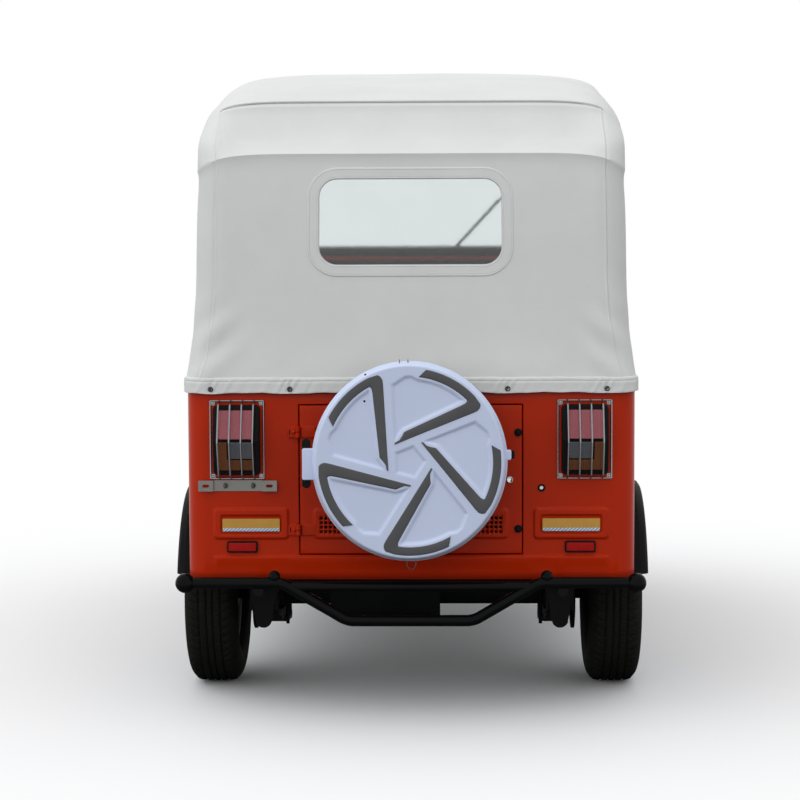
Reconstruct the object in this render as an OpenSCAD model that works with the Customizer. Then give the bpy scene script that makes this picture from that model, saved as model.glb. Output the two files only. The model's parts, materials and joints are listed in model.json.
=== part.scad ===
// Three-wheeled passenger rickshaw: sheet-metal body, canvas canopy, one steered front wheel.
// X points right, Y points forward and Z points up. The origin is on the ground, amid the outline.

/* [Wheels] */
// Outside diameter of every tyre
tyre_d = 508; // [470:1:540]
// Width of every tyre
tyre_w = 150; // [130:1:160]
// Diameter of the rim's bead seat
rim_d = 305; // [280:1:330]
// Distance between the front and rear axles
wheelbase = 1960; // [1900:5:2100]
// Distance between the middles of the rear tyres
rear_track = 1130; // [1100:2:1150]

/* [Body] */
// Width over the side walls
body_w = 1200; // [1160:2:1220]
// Height of the walls' lower edge
body_bottom = 370; // [350:1:385]
// Height of the walls' upper edge
body_top = 880; // [860:1:920]
// Thickness of a wall with its lining
wall_t = 25; // [18:1:32]
// Outside radius of the rear corners
corner_r = 60; // [45:1:75]
// Distance from the rear axle to the rear sheet
rear_overhang = 450; // [430:1:500]
// Distance from the rear axle to the front edge of the rear side walls
quarter_len = 473; // [430:1:520]
// Radius of the wheel arches
arch_r = 300; // [290:1:310]
// Distance from the middle of the body to a wheel housing
housing_x = 455; // [452:1:465]
// Reach of the arch flares beyond the side walls
flare_reach = 48; // [40:1:80]
// Thickness of the floor
floor_t = 10; // [6:1:14]

/* [Chassis] */
// Distance between the middles of the two rails
rail_gap = 800; // [780:2:820]
// Width of a rail
rail_w = 40; // [30:1:50]
// Height of a rail
rail_h = 60; // [50:1:70]
// Radius of the rear axle's tube
axle_r = 35; // [30:1:40]
// Half the distance between a spring's eyes
spring_half = 380; // [340:1:400]
// Width of a leaf
leaf_w = 60; // [50:1:64]
// Thickness of a leaf
leaf_t = 10; // [8:0.5:12]
// Radius of the drive motor
motor_r = 80; // [70:1:85]

/* [Rear door] */
// Width of the rear door
door_w = 588; // [560:2:600]
// Height of the rear door
door_h = 394; // [370:2:400]
// Height of the middle of the rear door
door_z = 629; // [625:1:640]
// Gap around the rear door
door_gap = 5; // [4:0.5:7]
// Distance of the hinge pins behind the rear sheet
hinge_out = 10; // [9:0.5:14]

/* [Spare wheel] */
// Distance from the rear sheet to the face of the cover
spare_depth = 190; // [186:1:220]
// Height of the middle of the spare wheel
spare_z = 695; // [690:1:710]
// Diameter of the cover
cover_d = 506; // [480:1:520]
// Thickness of the cover's wall
cover_t = 4; // [3:0.5:6]

/* [Lamps] */
// Distance from the middle of the body to the middle of a tail lamp
lamp_x = 462.5; // [455:0.5:470]
// Height of the middle of a tail lamp
lamp_z = 737; // [730:1:745]
// Width of a tail lamp
lamp_w = 124; // [110:1:130]
// Height of a tail lamp
lamp_h = 186; // [170:1:196]
// Depth of a tail lamp's housing
lamp_depth = 40; // [30:1:50]
// Reach of the wire guards behind the rear sheet
guard_reach = 68; // [62:1:75]

/* [Rear bumper] */
// Radius of the bumper's tube
bumper_r = 15; // [12:0.5:18]
// Distance from the rear sheet to the middle of the tube
bumper_out = 110; // [95:1:120]
// Height of the outer ends
bumper_z = 369; // [360:1:375]
// Height of the low middle run
bumper_low_z = 269; // [255:1:280]

/* [Canopy] */
// Height of the canvas hem
hem_z = 860; // [840:1:870]
// Thickness of the canvas with its lining
canvas_t = 6; // [4:0.5:8]
// Height of the soft crease at the rear
crease_z = 1498; // [1480:1:1515]
// Height of the piped edge at the rear
edge_z = 1648; // [1635:1:1660]
// Height of the top of the roof
roof_z = 1785; // [1765:1:1810]
// Width of the rear window
window_w = 488; // [440:2:520]
// Height of the rear window
window_h = 228; // [200:2:240]
// Height of the middle of the rear window
window_z = 1315; // [1300:1:1325]
// Radius of the canopy frame's tubes
frame_r = 12.5; // [10:0.5:14]

/* [Front end] */
// Rake of the steering axis from upright
caster = 25; // [22:0.5:27]
// Distance from the steering axis to the front axle
fork_offset = 45; // [38:1:50]
// Distance from the middle plane to a fork leg
fork_leg_x = 120; // [118:1:130]
// Gap between the front tyre and its mudguard
guard_gap = 28; // [22:1:32]
// Width of the nose
nose_w = 1120; // [1080:2:1150]
// Distance from the front axle to the nose's foremost face
nose_reach = 163; // [150:1:180]
// Thickness of the nose's wall
nose_t = 12; // [8:1:16]
// Height of the dashboard's top
dash_z = 1217; // [1205:1:1230]
// Rake of the windscreen from upright
screen_rake = 14; // [12:0.5:16]
// Radius of a headlamp
headlamp_r = 85; // [75:1:95]

/* [Cabin] */
// Height of the passenger bench's top
bench_z = 700; // [690:1:730]
// Thickness of a seat cushion
cushion_t = 100; // [80:1:110]
// Height of the driver's cushion
driver_z = 720; // [700:1:750]
// Height of the seat backs' upper edge
back_z = 1100; // [1060:1:1130]

/* [Hidden] */
$fn = 48;

// Clearances
seat_gap = 0.3;
hem_gap = 0.7;
running_gap = 0.05;
far = 4000;

// Colours
paint = "orangered";
canvas = "gainsboro";
black = "#202022";
steel = "silver";
vinyl = "#3a3a3c";

// Wheel places
tyre_r = tyre_d / 2;
rim_r = rim_d / 2;
guard_t = 4;
guard_r = tyre_r + guard_gap + guard_t;
overall_len = spare_depth + rear_overhang + wheelbase + guard_r;
rear_y = spare_depth - overall_len / 2;
rear_axle_y = rear_y + rear_overhang;
front_axle_y = rear_axle_y + wheelbase;
rear_wheel_x = rear_track / 2;

// Body places
half_w = body_w / 2;
inner_x = half_w - wall_t;
flat_x = half_w - corner_r;
rear_in_y = rear_y + wall_t;
quarter_y = rear_axle_y + quarter_len;
rail_x = rail_gap / 2;
rail_top = body_bottom + 20;
rail_bottom = rail_top - rail_h;
floor_z = rail_top + floor_t;
housing_t = 4;

// Steering and front end
steer_y = front_axle_y - fork_offset * cos(caster);
steer_z = tyre_r - fork_offset * sin(caster);
head_low = 480;
head_high = 640;
head_r = 32;
stem_r = 25;
bar_high = 850;
spine_y = front_axle_y - 346;
spine_d = 50;
floor_front = spine_y - spine_d / 2 - 6;
nose_y = front_axle_y + nose_reach;
nose_half = nose_w / 2;
nose_corner = 300;
nose_rear_y = floor_front - 140;
screen_y = front_axle_y - 257;
dash_in_y = screen_y - 15;
screen_t = 30;
panel_t = 8;

// Canopy sections
front_drop = 20;
canvas_out = canvas_t + hem_gap;
hoop_x = inner_x - frame_r - 0.5;
hoop_y = quarter_y + 20;
back_hoop_y = rear_y + 131;

// Seats
bench_front = rear_axle_y + 283;
bench_rear = back_hoop_y + frame_r + seat_gap;
backrest_t = 95;
bench_half = inner_x - 35;
bench_back_half = bench_half - 20;
driver_y = quarter_y + 480;
driver_w = 460;
driver_len = 370;
driver_back_t = 60;
driver_back_lift = 40;
battery_w = 640;
battery_len = 340;
battery_h = 150;

function unit(v) = v / norm(v);
function mirrored(points) = [for (p = points) [-p[0], p[1], p[2]]];
function backwards(items) = [for (i = [len(items) - 1 : -1 : 0]) items[i]];

// A straight bar between two points
module rod(a, b, r) {
    d = b - a;
    translate(a)
        rotate([0, acos(d[2] / norm(d)), atan2(d[1], d[0])])
            cylinder(h = norm(d), r = r);
}

// Points along the round of a corner between two directions
function corner_arc(corner, before, after, bend, steps) =
    let (
        turn = acos(before * after),
        inward = cross(unit(cross(before, after)), before),
        start = corner - before * bend * tan(turn / 2)
    )
    [for (i = [0 : steps])
        let (a = turn * i / steps)
        start + before * bend * sin(a) + inward * bend * (1 - cos(a))];

function tube_path(points, bend, steps) =
    let (last = len(points) - 1)
    [
        points[0],
        for (i = [1 : last - 1])
            each corner_arc(points[i], unit(points[i] - points[i - 1]),
                unit(points[i + 1] - points[i]), bend, steps),
        points[last]
    ];

function path_tangents(path) =
    let (last = len(path) - 1)
    [for (i = [0 : last])
        unit((i < last ? unit(path[i + 1] - path[i]) : [0, 0, 0])
            + (i > 0 ? unit(path[i] - path[i - 1]) : [0, 0, 0]))];

// A direction across the path, carried along it without twist
function carried(tangents, i, normal) =
    i == len(tangents)
        ? []
        : let (n = unit(normal - (normal * tangents[i]) * tangents[i]))
            concat([n], carried(tangents, i + 1, n));

// A tube through a list of corners, each with the same bend
module bent_tube(points, r, bend, sides = 16, steps = 4) {
    path = tube_path(points, bend, steps);
    along = path_tangents(path);
    across = carried(along, 0, abs(along[0][2]) < 0.9 ? [0, 0, 1] : [1, 0, 0]);
    last = len(path) - 1;
    skin = [for (i = [0 : last], j = [0 : sides - 1])
        let (a = 360 * j / sides)
        path[i] + r * (across[i] * cos(a) + cross(along[i], across[i]) * sin(a))];
    walls = [for (i = [0 : last - 1], j = [0 : sides - 1])
        let (p = i * sides + j, q = i * sides + (j + 1) % sides)
        each [[p, p + sides, q + sides], [p, q + sides, q]]];
    caps = [[for (j = [0 : sides - 1]) j], [for (j = [sides - 1 : -1 : 0]) last * sides + j]];
    polyhedron(skin, concat(caps, walls), convexity = 8);
}

// Joins or cuts its children as one smooth skin at their own size
module one_skin() {
    resize([0, 0, 0])
        children();
}

module rounded_square(w, h, r) {
    square([w - 2 * r, h], center = true);
    square([w, h - 2 * r], center = true);
    for (sx = [-1, 1], sz = [-1, 1])
        translate([sx * (w / 2 - r), sz * (h / 2 - r)])
            circle(r = r);
}

// A rounded plate on a rear face, thick towards the rear
module rear_plate(x, y, z, w, h, r, t) {
    translate([x, y, z])
        rotate([90, 0, 0])
            linear_extrude(t)
                rounded_square(w, h, r);
}

module both_sides() {
    children();
    mirror([1, 0, 0])
        children();
}

// A cylinder across the vehicle, from one side distance to another
module cross_bar(x0, x1, y, z, r) {
    translate([x0, y, z])
        rotate([0, 90, 0])
            cylinder(h = x1 - x0, r = r);
}

module on_fork() {
    translate([0, steer_y, steer_z])
        rotate([caster, 0, 0])
            children();
}

// A profile in the side plane, given as [y, z], widened across the vehicle
module side_slab(x0, x1, points) {
    translate([x0, 0, 0])
        rotate([90, 0, 90])
            linear_extrude(x1 - x0)
                polygon(points);
}

// Chassis
eye_z = tyre_r + 36;
eye_r = 18;
pin_r = 8;
cross_members = [rear_in_y + 30, rear_axle_y + spring_half + 60, quarter_y + 420];
rail_rear = rear_in_y + 5;
tongue_low = tyre_r - 32;
tongue_r = 22;

module spring_hangers() {
    for (end = [-1, 1], side = [-1, 1]) {
        x = rail_x + side * (leaf_w / 2 + 4);
        translate([x - 3, rear_axle_y + end * spring_half - 22, eye_z - 22])
            cube([6, 44, rail_bottom - eye_z + 23]);
    }
    for (end = [-1, 1]) {
        y = rear_axle_y + end * spring_half;
        cross_bar(rail_x - leaf_w / 2 - 8, rail_x + leaf_w / 2 + 8, y, eye_z, pin_r);
        translate([rail_x - leaf_w / 2 - 7, y - 22, rail_bottom - 6])
            cube([leaf_w + 14, 44, 7]);
    }
    translate([rail_x, rear_axle_y - spring_half - 21, 0])
        rotate([90, 0, 0])
            linear_extrude(6)
                hull() {
                    translate([-leaf_w / 2 - 7, rail_bottom - 6])
                        square([leaf_w + 14, 7]);
                    translate([0, tongue_low + tongue_r])
                        circle(r = tongue_r);
                }
}

module chassis_frame() {
    head_mid = (head_low + head_high) / 2;
    head_y = steer_y - head_mid * sin(caster);
    head_z = steer_z + head_mid * cos(caster);
    rail_front = spine_y + spine_d / 2;
    color(black)
        difference() {
            union() {
                both_sides() {
                    translate([rail_x - rail_w / 2, rail_rear, rail_bottom])
                        cube([rail_w, rail_front - rail_rear, rail_h]);
                    spring_hangers();
                }
                for (y = cross_members)
                    translate([-rail_x, y - 20, rail_bottom + 5])
                        cube([rail_gap, 40, rail_h - 10]);
                translate([-rail_x, rail_front - spine_d, rail_bottom])
                    cube([rail_gap, spine_d, rail_h]);
                side_slab(-25, 25, [
                    [spine_y - spine_d / 2, rail_bottom],
                    [spine_y + spine_d / 2, rail_bottom],
                    [head_y - 10, head_z],
                    [head_y - 60, head_z]
                ]);
                on_fork()
                    translate([0, 0, head_low])
                        cylinder(h = head_high - head_low, r = head_r);
            }
            on_fork()
                translate([0, 0, head_low - 60])
                    cylinder(h = head_high - head_low + 120, r = stem_r);
        }
}

module floor_pan() {
    inner_r = corner_r - wall_t - seat_gap;
    front_half = nose_half - nose_t - seat_gap;
    color(black)
        difference() {
            translate([0, 0, rail_top])
                linear_extrude(floor_t) {
                    translate([-inner_x + seat_gap, rear_y + corner_r])
                        square([2 * (inner_x - seat_gap), nose_rear_y - seat_gap - rear_y - corner_r]);
                    translate([-flat_x, rear_in_y + seat_gap])
                        square([2 * flat_x, corner_r]);
                    translate([-front_half, rear_axle_y])
                        square([2 * front_half, floor_front + panel_t - rear_axle_y]);
                    for (side = [-1, 1])
                        translate([side * flat_x, rear_y + corner_r])
                            circle(r = inner_r);
                }
            both_sides()
                cross_bar(housing_x - seat_gap, half_w, rear_axle_y, tyre_r, arch_r + housing_t + seat_gap);
        }
}

// Body walls
pad_x = 427;
pad_w = 202;
pad_h = 85;
pad_z = door_z - 117.5;
band_out = 4;

module rear_panel() {
    band_top = door_z - door_h / 2 - door_gap;
    color(paint) {
        difference() {
            translate([-flat_x, rear_y, body_bottom])
                cube([2 * flat_x, wall_t, body_top - body_bottom]);
            translate([-door_w / 2 - door_gap, rear_y - 1, door_z - door_h / 2 - door_gap])
                cube([door_w + 2 * door_gap, wall_t + 2, door_h + 2 * door_gap]);
        }
        side_slab(-flat_x + 12, flat_x - 12, [
            [rear_y + 1, body_bottom], [rear_y + 1, band_top], [rear_y, band_top],
            [rear_y - band_out, band_top - 2 * band_out], [rear_y - band_out, body_bottom]
        ]);
        both_sides()
            difference() {
                rear_plate(pad_x, rear_y + 1, pad_z, pad_w, pad_h, 10, 5);
                rear_plate(pad_x, rear_y - 2, pad_z - 3, pad_w - 40, pad_h - 34, 6, 3);
            }
    }
}

module quarter_panels() {
    color(paint)
        both_sides()
            difference() {
                translate([0, 0, body_bottom])
                    linear_extrude(body_top - body_bottom) {
                        translate([inner_x, rear_y + corner_r])
                            square([wall_t, quarter_y - rear_y - corner_r]);
                        intersection() {
                            translate([flat_x, rear_y + corner_r])
                                difference() {
                                    circle(r = corner_r);
                                    circle(r = corner_r - wall_t);
                                }
                            translate([flat_x, rear_y])
                                square([corner_r, corner_r]);
                        }
                    }
                cross_bar(inner_x - 1, half_w + 1, rear_axle_y, tyre_r, arch_r);
            }
}

module side_sills() {
    color(paint)
        both_sides()
            translate([inner_x, quarter_y, body_bottom])
                cube([wall_t, nose_rear_y - quarter_y, 110]);
}

module wheel_housings() {
    color(black)
        both_sides()
            difference() {
                cross_bar(housing_x, inner_x - seat_gap, rear_axle_y, tyre_r, arch_r + housing_t);
                cross_bar(housing_x + housing_t, half_w, rear_axle_y, tyre_r, arch_r);
                translate([0, rear_axle_y - far / 2, rail_top - far])
                    cube([far, far, far]);
            }
}

module fender_flares() {
    lip = 26;
    flare_end_z = 352;
    color(black)
        both_sides()
            difference() {
                translate([half_w, rear_axle_y, tyre_r])
                    rotate([0, 90, 0])
                        rotate_extrude()
                            polygon([
                                [arch_r, 0], [arch_r + lip, 0], [arch_r + lip, flare_reach * 0.55],
                                [arch_r + lip - 6, flare_reach * 0.85], [arch_r + lip - 16, flare_reach],
                                [arch_r, flare_reach], [arch_r, flare_reach - 4],
                                [arch_r + lip - 18, flare_reach - 4],
                                [arch_r + lip - 10, flare_reach * 0.83],
                                [arch_r + lip - 4, flare_reach * 0.55],
                                [arch_r + lip - 4, 4], [arch_r, 4]
                            ]);
                translate([0, rear_axle_y - far / 2, flare_end_z - far])
                    cube([far, far, far]);
            }
}

// Front end
nose_low_z = 600;
lamp_front_x = 330;
lamp_front_z = 840;

// The nose in plan, with round front corners
module nose_plan(t) {
    translate([-nose_half + t, nose_rear_y - far])
        square([nose_w - 2 * t, nose_y - nose_corner - nose_rear_y + far]);
    translate([-nose_half + nose_corner, nose_rear_y - far])
        square([nose_w - 2 * nose_corner, nose_y - t - nose_rear_y + far]);
    for (s = [-1, 1])
        translate([s * (nose_half - nose_corner), nose_y - nose_corner])
            circle(r = nose_corner - t);
}

// The nose from the side, as [y, z]
function nose_side(t) = [
    [nose_rear_y - (t > 0 ? 400 : 0), body_bottom - t],
    [nose_rear_y - (t > 0 ? 400 : 0), dash_z - (t > 0 ? t : 260)],
    [screen_y - 15, dash_z - t],
    [screen_y + 35, dash_z - t],
    [nose_y - 150, dash_z - 165 - t],
    [nose_y - 25 - t, dash_z - 270],
    [nose_y - t, dash_z - 320],
    [nose_y - t, nose_low_z + 30],
    [nose_y - 15 - t, nose_low_z - t],
    [nose_y - 320, nose_low_z - t],
    [floor_front + 60, body_bottom - t]
];

module nose_block(t) {
    intersection() {
        side_slab(-half_w, half_w, nose_side(t));
        translate([0, 0, body_bottom - 100])
            linear_extrude(dash_z)
                nose_plan(t);
    }
}

module nose_shell() {
    color(paint)
        difference() {
            nose_block(0);
            nose_block(nose_t);
            both_sides()
                translate([lamp_front_x, nose_y - 120, lamp_front_z])
                    rotate([-90, 0, 0])
                        cylinder(h = 200, r = headlamp_r + seat_gap);
        }
}

module headlamps() {
    color(steel)
        both_sides()
            translate([lamp_front_x, nose_y - 70, lamp_front_z])
                rotate([-90, 0, 0])
                    rotate_extrude()
                        polygon([
                            [0, 0], [50, 0], [headlamp_r, 40], [headlamp_r, 72], [headlamp_r + 8, 76],
                            [headlamp_r + 4, 88], [headlamp_r - 10, 92], [headlamp_r - 10, 70], [40, 20],
                            [0, 10]
                        ]);
}

module front_lenses() {
    color("white")
        both_sides()
            translate([lamp_front_x, nose_y - 70, lamp_front_z])
                rotate([-90, 0, 0])
                    rotate_extrude()
                        polygon([
                            [0, 90], [headlamp_r - 10 - seat_gap, 78], [headlamp_r - 10 - seat_gap, 84],
                            [headlamp_r - 40, 94], [0, 98]
                        ]);
}

module grille() {
    bars = 5;
    grille_w = 380;
    grille_h = 150;
    pitch = (grille_h - 24) / bars;
    color(black)
        translate([0, nose_y, nose_low_z + 200])
            rotate([-90, 0, 0])
                linear_extrude(12)
                    difference() {
                        rounded_square(grille_w, grille_h, 16);
                        for (i = [0 : bars - 1])
                            translate([0, (i - (bars - 1) / 2) * pitch])
                                rounded_square(grille_w - 32, pitch - 10, 5);
                    }
}

module dashboard() {
    knee_z = floor_z + 385;
    dash_top = dash_z - nose_t - seat_gap;
    shelf_z = knee_z + 105;
    hole_z = 850;
    along = (hole_z - steer_z) / cos(caster);
    dash_x = nose_half - nose_t - seat_gap;
    color(black)
        difference() {
            side_slab(-dash_x, dash_x, [
                [floor_front, floor_z], [floor_front - 28, knee_z], [dash_in_y - 12, shelf_z],
                [dash_in_y, dash_z - 60], [dash_in_y, dash_top], [screen_y + 15, dash_top],
                [screen_y + 15, dash_top - panel_t], [dash_in_y + panel_t, dash_top - panel_t],
                [dash_in_y + panel_t, dash_z - 60], [dash_in_y - 12 + panel_t, shelf_z - 4],
                [floor_front - 20, knee_z - 4], [floor_front + panel_t, floor_z]
            ]);
            on_fork()
                translate([0, 0, along - 120])
                    cylinder(h = 240, r = stem_r + 20);
        }
}

// Windscreen, drawn in its own plane with its lower edge at the dashboard
screen_in = 60;
screen_half = half_w - screen_in;
screen_top = roof_z - front_drop - canvas_t - 2 - screen_t * sin(screen_rake);
screen_high = (screen_top - dash_z) / cos(screen_rake);
screen_points = [
    [screen_half, 0], [screen_half, screen_high * 0.545], [screen_half - 10, screen_high * 0.663],
    [screen_half - 42, screen_high * 0.79], [screen_half - 100, screen_high * 0.89],
    [screen_half - 220, screen_high * 0.964], [screen_half - 400, screen_high * 0.996], [0, screen_high]
];

module screen_outline(inset) {
    right = [for (p = screen_points)
        [p[0] == 0 ? 0 : p[0] - inset, p[1] == 0 ? inset : p[1] - inset]];
    polygon(concat(right, [for (i = [len(right) - 2 : -1 : 0]) [-right[i][0], right[i][1]]]));
}

module on_screen() {
    translate([0, screen_y, dash_z])
        rotate([90 + screen_rake, 0, 0])
            children();
}

module windscreen_frame() {
    color(black)
        on_screen()
            translate([0, 0, -screen_t])
                linear_extrude(screen_t)
                    difference() {
                        screen_outline(0);
                        screen_outline(32);
                    }
}

module windscreen_glass() {
    color("lightcyan", 0.4)
        on_screen()
            translate([0, 0, -18])
                linear_extrude(5)
                    screen_outline(32 + seat_gap);
}

module wiper() {
    color(black) {
        on_screen() {
            translate([120, 16, -screen_t - 16])
                cylinder(h = 16, r = 9);
            translate([120, 16, -screen_t - 14])
                rotate([0, 0, -42])
                    translate([-5, 0, 0])
                        cube([10, 250, 6]);
            translate([120, 16, -screen_t - 8])
                rotate([0, 0, -42])
                    translate([-3, 40, 0])
                        cube([6, 290, 8]);
        }
    }
}

// Canopy
// Columns: half width, rear, height amid the rear, height along the sides, corner radius
side_drop = 45;
canopy_levels = [
    [half_w + canvas_out, rear_y - canvas_out, hem_z, hem_z, corner_r + canvas_out],
    [half_w + canvas_out, rear_y - canvas_out, body_top + 6, body_top + 6, corner_r + canvas_out],
    [half_w - 9, rear_y + 18, 1000, 1000, corner_r + 20],
    [half_w - 17, rear_y + 50, 1180, 1180, corner_r + 30],
    [half_w - 17, rear_y + 100, crease_z, crease_z - side_drop, corner_r + 30],
    [half_w - 15, rear_y + 150, crease_z + 42, crease_z + 32, corner_r + 30],
    [half_w - 17, rear_y + 280, edge_z, edge_z - 58, corner_r + 30],
    [half_w - 24, rear_y + 360, edge_z + 26, roof_z - 155, corner_r + 45],
    [half_w - 35, rear_y + 450, edge_z + 54, roof_z - 112, corner_r + 70],
    [half_w - 61, rear_y + 650, roof_z - 44, roof_z - 50, corner_r + 110],
    [half_w - 100, rear_y + 850, roof_z - 13, roof_z - 15, corner_r + 140],
    [half_w - 300, rear_y + 1050, roof_z, roof_z, corner_r + 60]
];
canopy_front = screen_y + 60;
ridge_y = rear_y + 1050;
side_n = 10;
corner_n = 8;
rear_n = 8;

// One half of a level's outline, from the front along the side to the middle of the rear
function half_outline(hw, rear, cr, front) = concat(
    [for (i = [0 : side_n]) [hw, front + (rear + cr - front) * i / side_n]],
    [for (i = [1 : corner_n])
        [hw - cr + cr * cos(90 * i / corner_n), rear + cr - cr * sin(90 * i / corner_n)]],
    [for (i = [1 : rear_n]) [(hw - cr) * (1 - i / rear_n), rear]]
);

// Height of a point on a level: it falls towards the sides, and the roof falls towards the front
function level_height(level, p, hw, t, high) =
    let (share = pow(abs(p[0]) / hw, 10), ahead = max(0, (p[1] - ridge_y) / (canopy_front - ridge_y)))
    level[2] + (level[3] - level[2]) * share - (high ? t + front_drop * ahead * ahead : 0);

function canopy_ring(k, t) =
    let (
        level = canopy_levels[k],
        hw = level[0] - t,
        half = half_outline(hw, level[1] + t, level[4] - t, canopy_front + t),
        drop = k == 0 ? 4 * t : 0,
        right = [for (p = half) [p[0], p[1], level_height(level, p, hw, t, k > 5) - drop]]
    )
    concat(right, backwards(mirrored([for (i = [0 : len(right) - 2]) right[i]])));

module canopy_block(t) {
    levels = len(canopy_levels);
    m = 2 * (side_n + corner_n + rear_n) + 1;
    h = (m - 1) / 2;
    points = [for (k = [0 : levels - 1]) each canopy_ring(k, t)];
    sides = [for (k = [0 : levels - 2], i = [0 : m - 1])
        let (a = k * m + i, b = k * m + (i + 1) % m)
        each [[a, b, b + m], [a, b + m, a + m]]];
    base = (levels - 1) * m;
    top = [for (i = [0 : h - 1])
        each i == h - 1
            ? [[base + i, base + i + 1, base + i + 2]]
            : [[base + i, base + i + 1, base + m - 2 - i], [base + i, base + m - 2 - i, base + m - 1 - i]]];
    polyhedron(points, concat([[for (i = [m - 1 : -1 : 0]) i]], sides, top), convexity = 6);
}

window_lean = atan2(50, crease_z - 1180);
valance = 60;

module on_window() {
    translate([0, rear_y + 50 + (window_z - 1180) * tan(window_lean), window_z])
        rotate([90 - window_lean, 0, 0])
            children();
}

module canopy() {
    color(canvas)
        one_skin()
            difference() {
                canopy_block(0);
                canopy_block(canvas_t);
                translate([-far / 2, quarter_y, -far])
                    cube([far, far, far + crease_z - side_drop - valance]);
                on_screen()
                    translate([-far / 2, -far / 2, -far - screen_t - seat_gap])
                        cube([far, far, far]);
                on_window()
                    translate([0, 0, -40])
                        linear_extrude(80)
                            rounded_square(window_w, window_h, 48);
            }
}

module rear_window() {
    color("lightcyan", 0.4)
        on_window()
            translate([0, 0, -canvas_t + 1])
                linear_extrude(canvas_t - 2)
                    rounded_square(window_w - 2 * seat_gap, window_h - 2 * seat_gap, 48 - seat_gap);
}

module canopy_frame() {
    bend = 60;
    rail_z = crease_z - 60;
    rail_end = screen_y - (rail_z + frame_r - dash_z) * tan(screen_rake) - seat_gap;
    back_x = hoop_x - 17;
    mid = [
        [hoop_x, hoop_y, floor_z], [hoop_x, hoop_y, crease_z - 40], [hoop_x - 42, hoop_y, roof_z - 150],
        [hoop_x - 182, hoop_y, roof_z - 70], [0, hoop_y, roof_z - 60]
    ];
    back = [
        [back_x, back_hoop_y, floor_z], [back_x, back_hoop_y, crease_z - 278],
        [back_x - 20, back_hoop_y + 70, crease_z - 50], [back_x - 105, back_hoop_y + 190, edge_z - 90],
        [back_x - 245, back_hoop_y + 205, edge_z - 48], [0, back_hoop_y + 205, edge_z - 42]
    ];
    color(black)
        one_skin()
            union() {
                for (half = [mid, back]) {
                    last = len(half) - 2;
                    right = [for (i = [0 : last]) half[i]];
                    bent_tube(concat(right, backwards(mirrored(right))), frame_r, bend);
                }
                for (z = [back_z - 100, back_z - 300])
                    rod([-back_x, back_hoop_y, z], [back_x, back_hoop_y, z], frame_r - 1, $fn = 16);
                both_sides()
                    rod([hoop_x, hoop_y, rail_z], [screen_half - 20, rail_end, rail_z],
                        frame_r - 1, $fn = 16);
            }
}

// Cabin
module driver_seat_base() {
    base_w = driver_w - 60;
    base_len = driver_len - 40;
    base_t = 12;
    high = driver_z - cushion_t - floor_z;
    color(black)
        difference() {
            translate([-base_w / 2, driver_y + 20, floor_z])
                cube([base_w, base_len, high]);
            translate([-base_w / 2 + base_t, driver_y + 20 + base_t, floor_z - 1])
                cube([base_w - 2 * base_t, base_len - 2 * base_t, high + 1 - base_t]);
        }
}

module driver_cushion() {
    color(vinyl)
        translate([-driver_w / 2, driver_y, driver_z - cushion_t + seat_gap])
            cube([driver_w, driver_len, cushion_t - seat_gap]);
}

module driver_backrest() {
    foot = driver_z + driver_back_lift;
    color(vinyl)
        translate([-driver_w / 2, driver_y - driver_back_t, foot])
            cube([driver_w, driver_back_t, back_z - foot]);
}

module driver_rail() {
    y = driver_y - driver_back_t - frame_r - seat_gap;
    post_x = inner_x - 125;
    cross_z = driver_z + 120;
    right = [[post_x, y, floor_z], [post_x, y, back_z - driver_back_lift]];
    color(black)
        one_skin()
            union() {
                bent_tube(concat(right, backwards(mirrored(right))), frame_r, 60);
                rod([-post_x, y, cross_z], [post_x, y, cross_z], frame_r - 1, $fn = 16);
            }
}

module seat_box() {
    box_t = 12;
    box_half = housing_x - 10;
    top = bench_z - cushion_t;
    color(black)
        difference() {
            translate([-box_half, bench_rear, floor_z])
                cube([2 * box_half, bench_front - 12 - bench_rear, top - floor_z]);
            translate([-box_half + box_t, bench_rear + box_t, floor_z - 1])
                cube([2 * (box_half - box_t), bench_front - 12 - bench_rear - 2 * box_t,
                      top - floor_z + 1 - box_t]);
        }
}

module battery_pack() {
    color("dimgray")
        translate([-battery_w / 2, bench_rear + 120, floor_z])
            cube([battery_w, battery_len, battery_h]);
}

module bench_cushion() {
    arch_gap = 5;
    color(vinyl)
        difference() {
            translate([-bench_half, bench_rear + backrest_t + seat_gap, bench_z - cushion_t + seat_gap])
                cube([2 * bench_half, bench_front - bench_rear - backrest_t, cushion_t - seat_gap]);
            both_sides()
                cross_bar(housing_x - arch_gap, half_w, rear_axle_y, tyre_r, arch_r + housing_t + arch_gap);
        }
}

module bench_backrest() {
    color(vinyl)
        translate([-bench_back_half, bench_rear, bench_z - cushion_t + seat_gap])
            cube([2 * bench_back_half, backrest_t, back_z - bench_z + cushion_t]);
}

// Rear axle and springs
axle_half = 460;
spindle_r = 20;

module rear_axle() {
    motor_y = rear_axle_y - 140;
    motor_z = tyre_r + 36;
    color("darkgray") {
        cross_bar(-axle_half, axle_half, rear_axle_y, tyre_r, axle_r);
        cross_bar(-rear_wheel_x - 30, rear_wheel_x + 30, rear_axle_y, tyre_r, spindle_r);
        both_sides()
            cross_bar(axle_half - 8, axle_half, rear_axle_y, tyre_r, 105);
        both_sides()
            translate([rail_x - leaf_w / 2, rear_axle_y - 40, tyre_r - axle_r + 0.7])
                cube([leaf_w, 80, axle_r]);
        cross_bar(33, 75, rear_axle_y, tyre_r, 70);
        cross_bar(33, 75, motor_y, motor_z, motor_r);
        translate([33, motor_y, tyre_r - 40])
            cube([42, rear_axle_y - motor_y, 90]);
    }
    color(black)
        cross_bar(-231, 34, motor_y, motor_z, motor_r - 1);
}

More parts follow.
